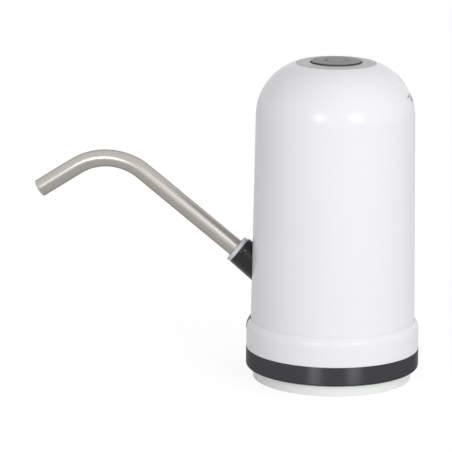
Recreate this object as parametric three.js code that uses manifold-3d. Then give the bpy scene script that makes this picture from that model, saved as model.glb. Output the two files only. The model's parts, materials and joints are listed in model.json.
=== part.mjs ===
// Electric water jug pump: a domed housing that sits on the neck of a large water bottle.
// Lengths are millimetres, angles are degrees. The spout points along -X, +Z is up.
// Heights are counted from the foot of the collar; the group is then lowered by neckDepth, so that
// the origin is the middle of the flat seat that rests on the rim of the bottle.
import * as THREE from "three";
import { mergeVertices } from "three/addons/utils/BufferGeometryUtils.js";
import Module from "manifold-3d";

const wasm = await Module();
wasm.setup();

// Facets round a circle, and steps along a rounded edge
const wideSides = 36;
const ringSides = 28;
const midSides = 18;
const smallSides = 12;
const tinySides = 8;
const domeSteps = 8;
const innerDomeSteps = 3;
const edgeSteps = 3;
const cornerSteps = 2;
const sectorSteps = 4;
const flankSteps = 2;

// Clearances and overruns
const fitGap = 0.3; // between pieces that are pushed together
const runGap = 0.2; // between pieces that turn or slide
const overrun = 3; // how far a cutter passes the face it opens
const bond = 0.4; // how far joined lumps reach into one another
const weldDistance = 1e-4; // corners closer than this are one corner

// Bottle neck and the sleeve that goes over it
const jugNeckRadius = 27.5;
const neckClearance = 0.7;
const neckDepth = 18;
const sleeveWall = 3;
const sleeveFootHeight = 1.2;
const webThickness = 2.4;

// Neck gasket with its three lips
const gasketWall = 1.4;
const gasketGrooveFoot = 3.9;
const gasketGrooveTop = 13.4;
const gasketLip = 0.9;
const gasketLipShares = [0.12, 0.5, 0.88];

// Outer steps of the base, bottom to top
const channelWidth = 4.4; // between the neck sleeve and the collar's clip
const collarFootRound = 1.2;
const collarClipTop = 12;
const collarClipWall = 1.5;
const bandFootHeight = 5.4;
const bandTopHeight = 14;
const bandProud = 0.2;
const bandLip = 1.4;
const housingWall = 1.8;
const skirtWall = 1.7;
const skirtTopHeight = 27.1;
const skirtCrownHeight = 4.2;
// The sloping crown of the skirt, as shares out from the body and up the crown
const skirtCrownShares = [[1, 0], [0.94, 0.2], [0.8, 0.4], [0.58, 0.6], [0.31, 0.8], [0, 1]];
const webRibCount = 9;
const webRibWidth = 1.4;
const webRibDepth = 5;

// Index tab on the shoulder of the base, under the spout
const tabSpan = 18;
const tabGapAngle = 0.5;
const tabFootDrop = 0.6; // below the foot of the crown
const tabSideProud = 0.15;

// Domed body shell
const shellWall = 2.2;
const bodyFootStep = 1.6; // foot of the body beyond the channel over the collar
const bodyTaper = 1.5;
const domeLift = 15.8; // centre of the dome's corner above the top of the battery
const domeCornerRadius = 25.2;
const crownShelfThickness = 2;

// Push button and the ring round it
const bezelRadius = 17.8;
const bezelProud = 0.17;
const bezelThickness = 1.7;
const bezelSkirtRadius = 13.6;
const bezelSkirtDepth = 2.3;
const buttonRadius = 11.3;
const buttonProud = 1.05;
const buttonWall = 1.4;
const buttonEdgeDrop = 0.3;
const buttonTravel = 0.6;
const buttonFlangeWidth = 1.4;
const buttonFlangeThickness = 1;

// Switch under the button
const switchBoardDrop = 11; // below the seat of the bezel
const switchBoardHalfX = 7;
const switchBoardHalfY = 20;
const switchBoardCorner = 3;
const switchSide = 6;
const switchCorner = 0.5;
const switchHeight = 3.5;
const plungerRadius = 1.75;
const plungerHeight = 1.2;

// Spout: a bent stainless tube
const spoutRadius = 4;
const spoutWall = 0.5;
const spoutRise = 38.6; // slope of the straight stem above the horizontal
const spoutDroop = 33; // slope of the tip below the horizontal
const spoutBendRadius = 26;
const spoutStemLength = 55.4;
const spoutTipLength = 19.6;
const spoutInsertLength = 15.4;
const spoutBendSteps = 9;

// Angled socket that carries the spout
const socketRise = 22; // from the pump's outlet to where the stem's axis crosses the body wall
const socketReach = 8.9; // from that point to the outer face of the grey ring
const sleeveFlangeRadius = 6.3;
const sleeveFlangeThickness = 1.9;
const sleeveTubeWall = 0.85;
const socketMouthRadius = 6.1;
const socketBelly = 0.4;
const socketRootRadius = 6.9;
const socketLipLength = 1.2;
const socketFlatDepth = 0.35;
const socketRootLength = 9;
const saddleThickness = 1.9;
const saddleHalfWidth = 11;
const saddleHalfHeight = 11.5;
const saddleCorner = 3;
const elbowReach = 11;
const elbowRadius = 3.6;

// Hose and barbs
const passageRadius = 1.3;
const barbRadius = 1.9;
const barbRidge = 0.4;
const barbLength = 5;
const outletBossLength = 2.6;
const hoseBoreRadius = 2.6;
const hoseWall = 1.3;
const hoseBendRadius = 6.4;
const hoseBendSteps = 5;
const hoseClipThickness = 0.7;
const hoseClipWidth = 3;
const hoseClipEar = 2.2;

// Gear pump under the motor
const pumpX = 6;
const gearTeeth = 10;
const gearModule = 1;
const gearAddendum = 0.9;
const gearPressureAngle = 20;
const gearBacklash = 0.3;
const gearRootClearance = 0.35;
const gearHeight = 6;
const pumpHalfX = 9.6;
const pumpHalfY = 14.4;
const pumpCornerRadius = 3.5;
const pumpCoverThickness = 2.5;
const pumpGasketThickness = 0.4;
const pumpRoofThickness = 1.8;
const pumpFlangeThickness = 1.6;
const pumpScrewInset = 2.4;
const pumpScrewReach = 9;
const pumpPadInset = 2;
const inletOffset = 6;
const inletRadius = 2.2;
const shaftSealRadius = 3.4;
const shaftSealFloor = 1;
const pinSeatDepth = 1.2;

// Inlet nipple in the web and the ring that seals it to the pump
const nippleFlangeRadius = 6.4;
const nippleFlangeThickness = 2;
const nippleShoulderRadius = 4.2;
const nippleRadius = 3.6;
const nippleBoreRadius = 2.4;
const nippleReach = 14;
const nippleRidgeLength = 2.5;
const inletSealRadius = 4.3;
const inletSealThickness = 1.5;

// Motor
const motorRadius = 12.2;
const motorWall = 1;
const motorCanLength = 25.6;
const motorFaceThickness = 1.2;
const shaftRadius = 1;
const magnetThickness = 2;
const magnetLength = 16;
const magnetSpan = 120;
const armatureRadius = 8.3;
const armatureLength = 13;
const armatureLift = 2;
const armatureShoe = 1.6;
const armatureShoeSpan = 100;
const armatureSpoke = 3.3;
const armaturePoles = 3;
const coilWidth = 6.6;
const coilOverhang = 1;
const coilGap = 0.6;
const commutatorRadius = 2.6;
const commutatorLength = 4;
const endCapFlange = 1;
const endCapPlug = 2.4;
const endCapBossRadius = 4;
const endCapBossHeight = 2;
const terminalWidth = 2.8;
const terminalThickness = 0.6;
const terminalHeight = 5;

// Battery
const cellRadius = 9.2;
const cellLength = 64.2;
const cellEdgeRound = 0.8;
const cellTipRadius = 3.2;
const cellTipHeight = 1;
const cellBearing = -69.6; // of the cell from the motor, in plan
const cellSpacing = 1.54; // between the cell and the motor

// Chassis that carries pump, motor, battery and board
const chassisFloor = 2;
const cradleWall = 1.7;
const cellCradleSpan = 170;
const cradleEndRoom = 1.44; // between the motor's cradle and the hose clip beside it
const cradleWindow = 10;
const motorCradleHeight = 21.8;
const cellCradleInset = 6.2; // how far the cell stands above its cradle
const cellCradleRoom = 1.8; // between the cell's cradle and the edge of the floor
const cellShelfLift = 2.2;
const cellShelfThickness = 1.6;
const cellWindowShares = [0.25, 0.75];
const pumpPadWidth = 2.2;
const railWidth = 3;
const railDepth = 4.4;
const railHeight = 34;

// Control board, and what stands on it as shares of the board's half width and height:
// place across, place up, half width, half height, thickness as a share of the half width
const boardThickness = 1.6;
const boardInset = 7.3;
const boardHalfWidth = 14;
const boardHeight = 43.6;
const boardPartShares = [
  [0.1, 0.3, 0.18, 0.07, 0.09],
  [-0.35, 0.45, 0.14, 0.06, 0.1],
  [0.4, 0.55, 0.18, 0.08, 0.2],
  [-0.2, 0.75, 0.26, 0.06, 0.26],
  [0.4, 0.88, 0.26, 0.06, 0.26],
];

// Thumb flat in the rear of the dome, and the charging port at its foot
const flatTilt = 34; // slope of the flat's normal above the horizontal
const flatRadius = 24.2; // from the centre of the dome's corner arc
const flatFoot = 4.2;
const flatRise = 9;
const flatHalfWidth = 7;
const flatCorner = 2.4;
const portTilt = 21; // slope of the port's axis above the horizontal
const portWidth = 7.4;
const portHeight = 2.8;
const portCorner = 0.7;
const portDepth = 5.4;
const portWall = 0.35;
const portSetback = 0.3;
const chargeBoardHalfWidth = 8;
const chargeBoardLength = 12;
const chargeBoardThickness = 1.2;
const chargeRailWidth = 2.2;
const chargeRailHeight = 4;
const chargeRailGrip = 0.8;

// Screws
const caseScrewRadius = 1.1;
const caseScrewLength = 12;
const caseScrewCount = 3;
const caseBossRadius = 2.4;
const caseBossHeight = 9;
const smallScrewRadius = 1;
const smallScrewLength = 6.5;
const screwHeadWidth = 0.8; // how far a head stands past its shank
const screwHeadHeight = 1.3;
const screwTipRoom = 1;
const driveRecessRadius = 0.9;
const driveRecessDepth = 0.7;
const driveRecessSides = 6;

const rad = THREE.MathUtils.degToRad;
const deg = THREE.MathUtils.radToDeg;

// Derived sizes and places, from the neck up
const neckBoreRadius = jugNeckRadius + neckClearance;
const sleeveRadius = neckBoreRadius + sleeveWall;
const webTop = neckDepth + webThickness;
const chassisTop = webTop + chassisFloor;

const nippleX = pumpX + inletOffset;
const pumpFoot = webTop + nippleFlangeThickness + inletSealThickness;
const gasketFoot = pumpFoot + pumpCoverThickness;
const pumpBodyFoot = gasketFoot + pumpGasketThickness;
const gearFoot = gasketFoot + runGap;
const gearTop = gearFoot + gearHeight;
const chamberTop = gearTop + runGap;
const pumpRoof = chamberTop + pumpRoofThickness;
const motorFoot = pumpRoof + pumpFlangeThickness;
const motorCanTop = motorFoot + motorCanLength;
const motorCradleTop = motorFoot + motorCradleHeight;
const gearPitchRadius = (gearTeeth * gearModule) / 2;
const gearTipRadius = gearPitchRadius + gearAddendum;
const gearRootRadius = gearPitchRadius - gearAddendum - gearRootClearance;
const driveY = gearPitchRadius;
const idlerY = -gearPitchRadius;
const chamberRadius = gearTipRadius + runGap;
const outletHeight = (pumpBodyFoot + chamberTop) / 2;
const outletBossRadius = outletHeight - pumpBodyFoot;
const outletRootX = pumpX - pumpHalfX - outletBossLength;
const outletTipX = outletRootX - barbLength;
const shaftSealFoot = chamberTop + shaftSealFloor;
const socketHeight = outletHeight + socketRise;

const hoseClipOuter = hoseBoreRadius + hoseWall + runGap + hoseClipThickness;
const motorCradleOuter = motorRadius + fitGap + cradleWall;
const motorCradleEnd = hoseClipOuter + cradleEndRoom - driveY;
const motorCradleSpan = 180 - 2 * deg(Math.asin(motorCradleEnd / motorCradleOuter));

const cellDistance = motorRadius + cellSpacing + cellRadius;
const cellX = pumpX + cellDistance * Math.cos(rad(cellBearing));
const cellY = driveY + cellDistance * Math.sin(rad(cellBearing));
const cellShelfHeight = motorFoot + cellShelfLift + cellShelfThickness;
const cellCradleTop = cellShelfHeight + cellLength - cellCradleInset;
const cellNeed = Math.hypot(cellX, cellY) + cellRadius + fitGap + cradleWall + cellCradleRoom;

// The walls are as wide as the neck sleeve or the battery needs
const wallNeed = cellNeed + fitGap + shellWall - bodyFootStep;
const channelRadius = Math.max(sleeveRadius + channelWidth, wallNeed);
const collarRadius = channelRadius + runGap;
const bandWallRadius = channelRadius + housingWall;
const bandWallFoot = bandFootHeight + bandLip + fitGap;
const caseScrewCircle = (sleeveRadius + channelRadius) / 2;
const bodyFootRadius = channelRadius + bodyFootStep;
const bodyTopRadius = bodyFootRadius - bodyTaper;
const lipRadius = bodyFootRadius + fitGap;
const skirtRadius = lipRadius + skirtWall;
const skirtCrownFoot = skirtTopHeight - skirtCrownHeight;
const tabFoot = skirtCrownFoot - tabFootDrop;
const bandRadius = skirtRadius + bandProud;
const chassisRadius = bodyFootRadius - shellWall - fitGap;
const boardX = chassisRadius - boardInset;

const domeFootHeight = cellShelfHeight + cellLength + domeLift;
const domeCornerX = bodyTopRadius - domeCornerRadius;
const innerCornerRadius = domeCornerRadius - shellWall;
const crownRadius = bezelRadius + fitGap;
const crownRise = Math.sqrt(domeCornerRadius ** 2 - (crownRadius - domeCornerX) ** 2);
const bezelRimHeight = domeFootHeight + crownRise + bezelProud;
const bezelSeat = bezelRimHeight - bezelThickness;
const bezelSkirtFoot = bezelSeat - bezelSkirtDepth;
const crownShelfFoot = bezelSeat - crownShelfThickness;
const buttonCrownHeight = bezelRimHeight + buttonProud;
const switchBoardHeight = bezelSeat - switchBoardDrop;
const switchBoardTop = switchBoardHeight + boardThickness;
const switchTop = switchBoardTop + switchHeight;

const rise = rad(spoutRise);
const mouthReach = socketReach - sleeveFlangeThickness;
const insertReach = socketReach - spoutInsertLength;
const saddleRadius = bodyRadiusAt(socketHeight + saddleHalfHeight) - shellWall - fitGap;
const socketRoot = new THREE.Vector3(-bodyRadiusAt(socketHeight), 0, socketHeight);
const spoutAxis = new THREE.Vector3(-Math.cos(rise), 0, Math.sin(rise));
const elbow = socketRoot.clone().addScaledVector(spoutAxis, -elbowReach);

function bodyRadiusAt(height) {
  const share = (height - skirtTopHeight) / (domeFootHeight - skirtTopHeight);
  return bodyFootRadius + (bodyTopRadius - bodyFootRadius) * share;
}

// A closed geometry as a solid for joining and cutting, and back again.
function toSolid(geometry) {
  const bare = geometry.index ? geometry.toNonIndexed() : geometry.clone();
  bare.deleteAttribute("normal");
  bare.deleteAttribute("uv");
  const merged = mergeVertices(bare, weldDistance);
  const mesh = new wasm.Mesh({
    numProp: 3,
    vertProperties: merged.attributes.position.array,
    triVerts: new Uint32Array(merged.index.array),
  });
  return new wasm.Manifold(mesh);
}

function toGeometry(solid) {
  const mesh = solid.getMesh();
  const geometry = new THREE.BufferGeometry();
  geometry.setAttribute("position", new THREE.BufferAttribute(mesh.vertProperties, 3));
  geometry.setIndex(new THREE.BufferAttribute(mesh.triVerts, 1));
  return geometry;
}

function join(first, ...others) {
  return toGeometry(others.reduce((sum, other) => sum.add(toSolid(other)), toSolid(first)));
}

function cut(first, ...cutters) {
  return toGeometry(cutters.reduce((rest, cutter) => rest.subtract(toSolid(cutter)), toSolid(first)));
}

function overlapOf(first, second) {
  return toGeometry(toSolid(first).intersect(toSolid(second)));
}

// A profile of [radius, height] points turned about the Z axis.
function revolve(profile, sides = wideSides) {
  const points = profile.map(([r, z]) => new THREE.Vector2(r, z));
  return new THREE.LatheGeometry(points, sides).rotateX(Math.PI / 2);
}

// A ring whose profile closes on itself.
function revolveRing(profile, sides = wideSides) {
  return revolve([...profile, profile[0]], sides);
}

// An upright bar, straight or tapered, between two heights.
function bar(radius, low, high, { x = 0, y = 0, sides = midSides, topRadius = radius } = {}) {
  const round = new THREE.CylinderGeometry(topRadius, radius, high - low, sides);
  return round.rotateX(Math.PI / 2).translate(x, y, (low + high) / 2);
}

// A box between two corners, given as the span along each axis in either order.
function block([x0, x1], [y0, y1], [z0, z1]) {
  const box = new THREE.BoxGeometry(Math.abs(x1 - x0), Math.abs(y1 - y0), Math.abs(z1 - z0));
  return box.translate((x0 + x1) / 2, (y0 + y1) / 2, (z0 + z1) / 2);
}

function prism(shape, low, high, curveSegments = cornerSteps) {
  const options = { depth: high - low, bevelEnabled: false, curveSegments };
  return new THREE.ExtrudeGeometry(shape, options).translate(0, 0, low);
}

function roundedRectangle(halfX, halfY, corner, x = 0, y = 0) {
  const shape = new THREE.Shape();
  shape.moveTo(x + halfX, y - halfY + corner);
  shape.lineTo(x + halfX, y + halfY - corner);
  shape.absarc(x + halfX - corner, y + halfY - corner, corner, 0, Math.PI / 2);
  shape.absarc(x - halfX + corner, y + halfY - corner, corner, Math.PI / 2, Math.PI);
  shape.absarc(x - halfX + corner, y - halfY + corner, corner, Math.PI, 1.5 * Math.PI);
  shape.absarc(x + halfX - corner, y - halfY + corner, corner, 1.5 * Math.PI, 2 * Math.PI);
  return shape;
}

// A sector of a ring seen from above: `span` degrees, centred on the direction `middle`.
function ringSector(inner, outer, middle, span, { x = 0, y = 0 } = {}) {
  const from = rad(middle - span / 2);
  const to = rad(middle + span / 2);
  const shape = new THREE.Shape();
  shape.absarc(x, y, outer, from, to, false);
  shape.absarc(x, y, inner, to, from, true);
  return shape;
}

function arc(centreX, centreZ, radius, from, to, steps = edgeSteps) {
  return Array.from({ length: steps + 1 }, (_, i) => {
    const angle = rad(from + ((to - from) * i) / steps);
    return [centreX + radius * Math.cos(angle), centreZ + radius * Math.sin(angle)];
  });
}

// A route with one section of the pipe drawn at each station, which is a point and a direction.
class Route extends THREE.Curve {
  constructor(stations) {
    super();
    this.stations = stations;
  }

  stationAt(share) {
    return this.stations[Math.round(share * (this.stations.length - 1))];
  }

  getPointAt(share) {
    return this.stationAt(share).point.clone();
  }

  getTangentAt(share) {
    return this.stationAt(share).along.clone();
  }
}

function pipe(stations, outer, inner, sides) {
  const section = new THREE.Shape();
  section.absarc(0, 0, outer, 0, 2 * Math.PI);
  const bore = new THREE.Path();
  bore.absarc(0, 0, inner, 0, 2 * Math.PI, true);
  section.holes.push(bore);
  return new THREE.ExtrudeGeometry(section, {
    steps: stations.length - 1,
    extrudePath: new Route(stations),
    curveSegments: sides / 2,
  });
}

// Direction in the XZ plane, `slope` degrees above -X.
function slopeAxis(slope) {
  return new THREE.Vector3(-Math.cos(rad(slope)), 0, Math.sin(rad(slope)));
}

// Turns a piece built upright about the origin onto the stem's axis.
function onSpoutAxis(geometry) {
  return geometry.rotateY(rise - Math.PI / 2).translate(...socketRoot.toArray());
}

// Turns a piece built upright onto a line out of the dome's corner arc, at the rear.
// Its X then points up the dome and its height is the distance from the centre of the arc.
function onRear(geometry, tilt) {
  return geometry.rotateZ(Math.PI).rotateY(rad(90 - tilt)).translate(domeCornerX, 0, domeFootHeight);
}

// Base

function crownProfile(outer) {
  return skirtCrownShares.map(([across, up]) => [
    lipRadius + (outer - lipRadius) * across,
    skirtCrownFoot + skirtCrownHeight * up,
  ]);
}

function makeBaseHousing() {
  const grooveRadius = neckBoreRadius + gasketWall;
  const profile = [
    [0, neckDepth],
    [neckBoreRadius, neckDepth],
    [neckBoreRadius, gasketGrooveTop],
    [grooveRadius, gasketGrooveTop],
    [grooveRadius, gasketGrooveFoot],
    [neckBoreRadius, gasketGrooveFoot],
    [neckBoreRadius, sleeveFootHeight],
    [sleeveRadius, sleeveFootHeight],
    [sleeveRadius, neckDepth],
    [channelRadius, neckDepth],
    [channelRadius, bandWallFoot],
    [bandWallRadius, bandWallFoot],
    [bandWallRadius, bandTopHeight],
    [skirtRadius, bandTopHeight],
    ...crownProfile(skirtRadius),
    [lipRadius, webTop],
    [0, webTop],
  ];
  const nippleHole = bar(nippleShoulderRadius + fitGap, neckDepth - overrun, webTop + overrun, {
    x: nippleX,
  });
  return cut(
    join(revolve(profile), ...webRibs()),
    nippleHole,
    tabNotch(),
    ...caseScrewHoles(neckDepth - overrun, webTop + overrun),
  );
}

// Short ribs in the channel under the web, between the screws.
function webRibs() {
  const perScrew = webRibCount / caseScrewCount;
  const step = 360 / caseScrewCount / (perScrew + 1);
  return Array.from({ length: caseScrewCount }, (_, s) =>
    Array.from({ length: perScrew }, (_, i) => {
      const turn = (s * 360) / caseScrewCount + (i + 1) * step;
      const rib = block(
        [sleeveRadius - bond, channelRadius + bond],
        [-webRibWidth / 2, webRibWidth / 2],
        [neckDepth - webRibDepth, neckDepth + bond],
      );
      return rib.rotateZ(rad(turn));
    }),
  ).flat();
}

function tabNotch() {
  const sector = ringSector(lipRadius - shellWall, skirtRadius + overrun, 180, tabSpan + 2 * tabGapAngle);
  return prism(sector, tabFoot, skirtTopHeight + overrun);
}

function makeIndexTab() {
  const outer = skirtRadius + tabSideProud;
  const ring = revolveRing([[lipRadius, tabFoot], [outer, tabFoot], ...crownProfile(outer)]);
  const sector = ringSector(lipRadius - overrun, outer + overrun, 180, tabSpan);
  return overlapOf(ring, prism(sector, tabFoot - overrun, skirtTopHeight + overrun));
}

function makeTrimBand() {
  const innerRadius = bandWallRadius + fitGap;
  const round = bandRadius - innerRadius;
  const lipTop = bandFootHeight + bandLip;
  return revolveRing([
    [collarRadius + fitGap, bandFootHeight],
    ...arc(innerRadius, bandFootHeight + round, round, -90, 0),
    [bandRadius, bandTopHeight],
    [innerRadius, bandTopHeight],
    [innerRadius, lipTop],
    [collarRadius + fitGap, lipTop],
  ]);
}

function makeNeckCollar() {
  const ledge = sleeveFootHeight - fitGap;
  const floor = ledge + collarFootRound;
  const clipRadius = channelRadius - fitGap;
  const clipInner = clipRadius - collarClipWall;
  return revolveRing([
    [neckBoreRadius + fitGap, 0],
    ...arc(collarRadius - collarFootRound, collarFootRound, collarFootRound, -90, 0),
    [collarRadius, bandFootHeight],
    [clipRadius, bandFootHeight],
    [clipRadius, collarClipTop],
    [clipInner, collarClipTop],
    [clipInner, floor],
    [sleeveRadius + fitGap, floor],
    [sleeveRadius + fitGap, ledge],
    [neckBoreRadius + fitGap, ledge],
  ]);
}

function makeNeckGasket() {
  const back = neckBoreRadius + gasketWall - fitGap;
  const face = neckBoreRadius - fitGap;
  const top = gasketGrooveTop - fitGap;
  const lips = gasketLipShares.toReversed().flatMap((share) => {
    const middle = gasketGrooveFoot + (top - gasketGrooveFoot) * share;
    return [
      [face, middle + gasketLip],
      [face - gasketLip, middle],
      [face, middle - gasketLip],
    ];
  });
  const profile = [[back, gasketGrooveFoot], [back, top], [face, top], ...lips, [face, gasketGrooveFoot]];
  return revolveRing(profile, ringSides);
}

function caseScrewSpots() {
  return Array.from({ length: caseScrewCount }, (_, i) => {
    const angle = (2 * Math.PI * i) / caseScrewCount;
    return { x: caseScrewCircle * Math.cos(angle), y: caseScrewCircle * Math.sin(angle) };
  });
}

function caseScrewHoles(low, high) {
  return caseScrewSpots().map((spot) =>
    bar(caseScrewRadius + fitGap, low, high, { ...spot, sides: tinySides }),
  );
}

// Body shell

function makeBodyShell() {
  const holeRadius = bezelSkirtRadius + fitGap;
  const crownAngle = deg(Math.acos((crownRadius - domeCornerX) / domeCornerRadius));
  const shelfAngle = deg(Math.asin((crownShelfFoot - domeFootHeight) / innerCornerRadius));
  const inner = bodyFootRadius - shellWall;
  const shell = revolveRing([
    [inner, webTop],
    [bodyFootRadius, webTop],
    [bodyFootRadius, skirtTopHeight],
    ...arc(domeCornerX, domeFootHeight, domeCornerRadius, 0, crownAngle, domeSteps),
    [crownRadius, bezelSeat],
    [holeRadius, bezelSeat],
    [holeRadius, crownShelfFoot],
    ...arc(domeCornerX, domeFootHeight, innerCornerRadius, shelfAngle, 0, innerDomeSteps),
    [inner, skirtTopHeight],
  ]);
  const caseBossTop = chassisTop + caseBossHeight;
  const caseBosses = caseScrewSpots().map((spot) =>
    bar(caseBossRadius, chassisTop, caseBossTop, { ...spot, sides: smallSides }),
  );
  const screwTop = switchBoardHeight + smallScrewLength + screwTipRoom;
  return cut(
    join(shell, ...caseBosses, ...switchBosses(), ...chargeRails()),
    onSpoutAxis(bar(socketRootRadius + fitGap, -socketRootLength, socketReach)),
    ...caseScrewHoles(webTop, caseBossTop - screwTipRoom),
    ...switchScrewHoles(switchBoardTop - overrun, screwTop),
    thumbFlat(),
    portSlot(),
  );
}

function switchScrewSpots() {
  const reach = switchBoardHalfY - switchBoardCorner;
  return [-1, 1].map((side) => ({ x: 0, y: side * reach }));
}

function switchScrewHoles(low, high) {
  return switchScrewSpots().map((spot) =>
    bar(smallScrewRadius + fitGap, low, high, { ...spot, sides: tinySides }),
  );
}

function switchBosses() {
  return switchScrewSpots().map((spot) =>
    bar(caseBossRadius, switchBoardTop, crownShelfFoot + bond, { ...spot, sides: smallSides }),
  );
}

function thumbFlat() {
  const halfLength = (flatFoot + flatRise) / 2;
  const shape = roundedRectangle(halfLength, flatHalfWidth, flatCorner, halfLength - flatFoot);
  return onRear(prism(shape, flatRadius, flatRadius + overrun), flatTilt);
}

function portSlot() {
  const shape = roundedRectangle(portHeight / 2 + fitGap, portWidth / 2 + fitGap, portCorner);
  return onRear(prism(shape, innerCornerRadius - overrun, domeCornerRadius + overrun), portTilt);
}

// Where the charging board lies below the port: its faces, and its ends along the port's axis.
// The wall curves in behind the board's front corners, so the board stops short by that much.
function chargeBoardPlace() {
  const top = -portHeight / 2 - fitGap;
  const wallRadius = domeCornerX + innerCornerRadius * Math.cos(rad(portTilt));
  const curveIn = wallRadius - Math.sqrt(wallRadius ** 2 - chargeBoardHalfWidth ** 2);
  const front = innerCornerRadius - curveIn - 2 * fitGap;
  return { top, foot: top - chargeBoardThickness, front, back: front - chargeBoardLength };
}

// Two slotted ribs behind the port that hold the edges of the charging board.
function chargeRails() {
  const { top, foot, front, back } = chargeBoardPlace();
  const middle = (top + foot) / 2;
  return [-1, 1].map((side) => {
    const near = side * (chargeBoardHalfWidth - chargeRailGrip);
    const rail = block(
      [middle - chargeRailHeight / 2, middle + chargeRailHeight / 2],
      [near, near + side * chargeRailWidth],
      [back, innerCornerRadius + bond],
    );
    const slot = block(
      [foot - runGap, top + runGap],
      [near - side * overrun, side * (chargeBoardHalfWidth + runGap)],
      [back - overrun, front + runGap],
    );
    return onRear(cut(rail, slot), portTilt);
  });
}

function makeChargeBoard() {
  const { top, foot, front, back } = chargeBoardPlace();
  return onRear(block([foot, top], [-chargeBoardHalfWidth, chargeBoardHalfWidth], [back, front]), portTilt);
}

// The metal shell of the port, open at its mouth, with the contact tongue inside.
function makeUsbSocket() {
  const mouth = domeCornerRadius - portSetback;
  const back = mouth - portDepth;
  const innerHalfX = portHeight / 2 - portWall;
  const innerHalfY = portWidth / 2 - portWall;
  const hollow = roundedRectangle(innerHalfX, innerHalfY, portCorner - portWall);
  const can = cut(
    prism(roundedRectangle(portHeight / 2, portWidth / 2, portCorner), back, mouth),
    prism(hollow, back + portWall, mouth + overrun),
  );
  const tongue = block(
    [-portWall, portWall],
    [-innerHalfY / 2, innerHalfY / 2],
    [back + portWall / 2, mouth - 2 * portWall],
  );
  return onRear(join(can, tongue), portTilt);
}

// Button, its ring and the switch under it

function makeButtonBezel() {
  const bore = buttonRadius + fitGap;
  const profile = [
    [bore, bezelSkirtFoot],
    [bezelSkirtRadius, bezelSkirtFoot],
    [bezelSkirtRadius, bezelSeat],
    [bezelRadius, bezelSeat],
    [bezelRadius, bezelRimHeight - fitGap],
    [bezelRadius - fitGap, bezelRimHeight],
    [bore + fitGap, bezelRimHeight + runGap],
    [bore, bezelRimHeight],
  ];
  return revolveRing(profile, ringSides);
}

function makeButtonCap() {
  const flangeTop = bezelSkirtFoot - fitGap;
  const flangeFoot = flangeTop - buttonFlangeThickness;
  const discFoot = buttonCrownHeight - 2 * buttonWall;
  const stemFoot = switchTop + plungerHeight + runGap;
  const edge = buttonCrownHeight - buttonEdgeDrop;
  const profile = [
    [0, stemFoot],
    [plungerRadius, stemFoot],
    [plungerRadius, discFoot],
    [buttonRadius - buttonWall, discFoot],
    [buttonRadius - buttonWall, flangeFoot],
    [buttonRadius + buttonFlangeWidth, flangeFoot],
    [buttonRadius + buttonFlangeWidth, flangeTop],
    [buttonRadius, flangeTop],
    [buttonRadius, edge - fitGap],
    [buttonRadius - fitGap, edge],
    [buttonRadius / 2, buttonCrownHeight - buttonEdgeDrop / 4],
    [0, buttonCrownHeight],
  ];
  return revolve(profile, ringSides);
}

function makeSwitchBoard() {
  const outline = roundedRectangle(switchBoardHalfX, switchBoardHalfY, switchBoardCorner);
  const board = prism(outline, switchBoardHeight, switchBoardTop);
  return cut(board, ...switchScrewHoles(switchBoardHeight - overrun, switchBoardTop + overrun));
}

function makeTactSwitch() {
  const half = switchSide / 2;
  const housing = prism(roundedRectangle(half, half, switchCorner), switchBoardTop, switchTop);
  const well = bar(plungerRadius + runGap, switchTop - buttonTravel - runGap, switchTop + overrun, {
    sides: smallSides,
  });
  return cut(housing, well);
}

function makePlunger() {
  return bar(plungerRadius, switchTop, switchTop + plungerHeight, { sides: smallSides });
}

// Spout and its socket

function makeSpoutSocket() {
  const bellyRadius = socketMouthRadius + socketBelly;
  const nose = revolve(
    [
      [0, -socketRootLength],
      [socketRootRadius, -socketRootLength],
      [socketRootRadius, insertReach],
      [bellyRadius, mouthReach - socketLipLength],
      [socketMouthRadius, mouthReach],
      [0, mouthReach],
    ],
    midSides,
  );
  const flatY = bellyRadius - socketFlatDepth;
  const flats = [-1, 1].map((side) =>
    block(
      [-socketRootRadius, socketRootRadius],
      [side * flatY, side * (flatY + overrun)],
      [-socketRootLength - overrun, mouthReach - socketLipLength],
    ),
  );
  const neck = bar(elbowRadius, -elbowReach, bond - socketRootLength);
  const boreRadius = spoutRadius + sleeveTubeWall + 2 * runGap;
  const bore = bar(boreRadius, insertReach - runGap, mouthReach + overrun);
  const passage = bar(inletRadius, -elbowReach, mouthReach, { sides: smallSides });
  const outside = join(onSpoutAxis(cut(nose, ...flats)), makeSaddle(), onSpoutAxis(neck), makeElbow());
  return cut(outside, onSpoutAxis(bore), onSpoutAxis(passage), elbowBore());
}

// A curved plate that lies against the inside of the body wall.
function makeSaddle() {
  const low = socketHeight - saddleHalfHeight;
  const high = socketHeight + saddleHalfHeight;
  const ring = revolveRing([
    [saddleRadius - saddleThickness, low],
    [saddleRadius, low],
    [saddleRadius, high],
    [saddleRadius - saddleThickness, high],
  ]);
  const outline = roundedRectangle(saddleHalfHeight, saddleHalfWidth, saddleCorner);
  const plate = prism(outline, 0, bodyFootRadius);
  return overlapOf(ring, plate.rotateY(-Math.PI / 2).translate(0, 0, socketHeight));
}

// The water turns down at the elbow, into a barb for the hose.
function makeElbow() {
  const ball = new THREE.SphereGeometry(elbowRadius, smallSides, tinySides);
  ball.rotateX(Math.PI / 2).translate(elbow.x, 0, elbow.z);
  const stub = barb(barbLength + elbowRadius).rotateX(Math.PI).translate(elbow.x, 0, elbow.z);
  return join(ball, stub);
}

function elbowBore() {
  const tip = elbow.z - elbowRadius - barbLength;
  return bar(passageRadius, tip - overrun, elbow.z, { x: elbow.x, sides: smallSides });
}

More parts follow.
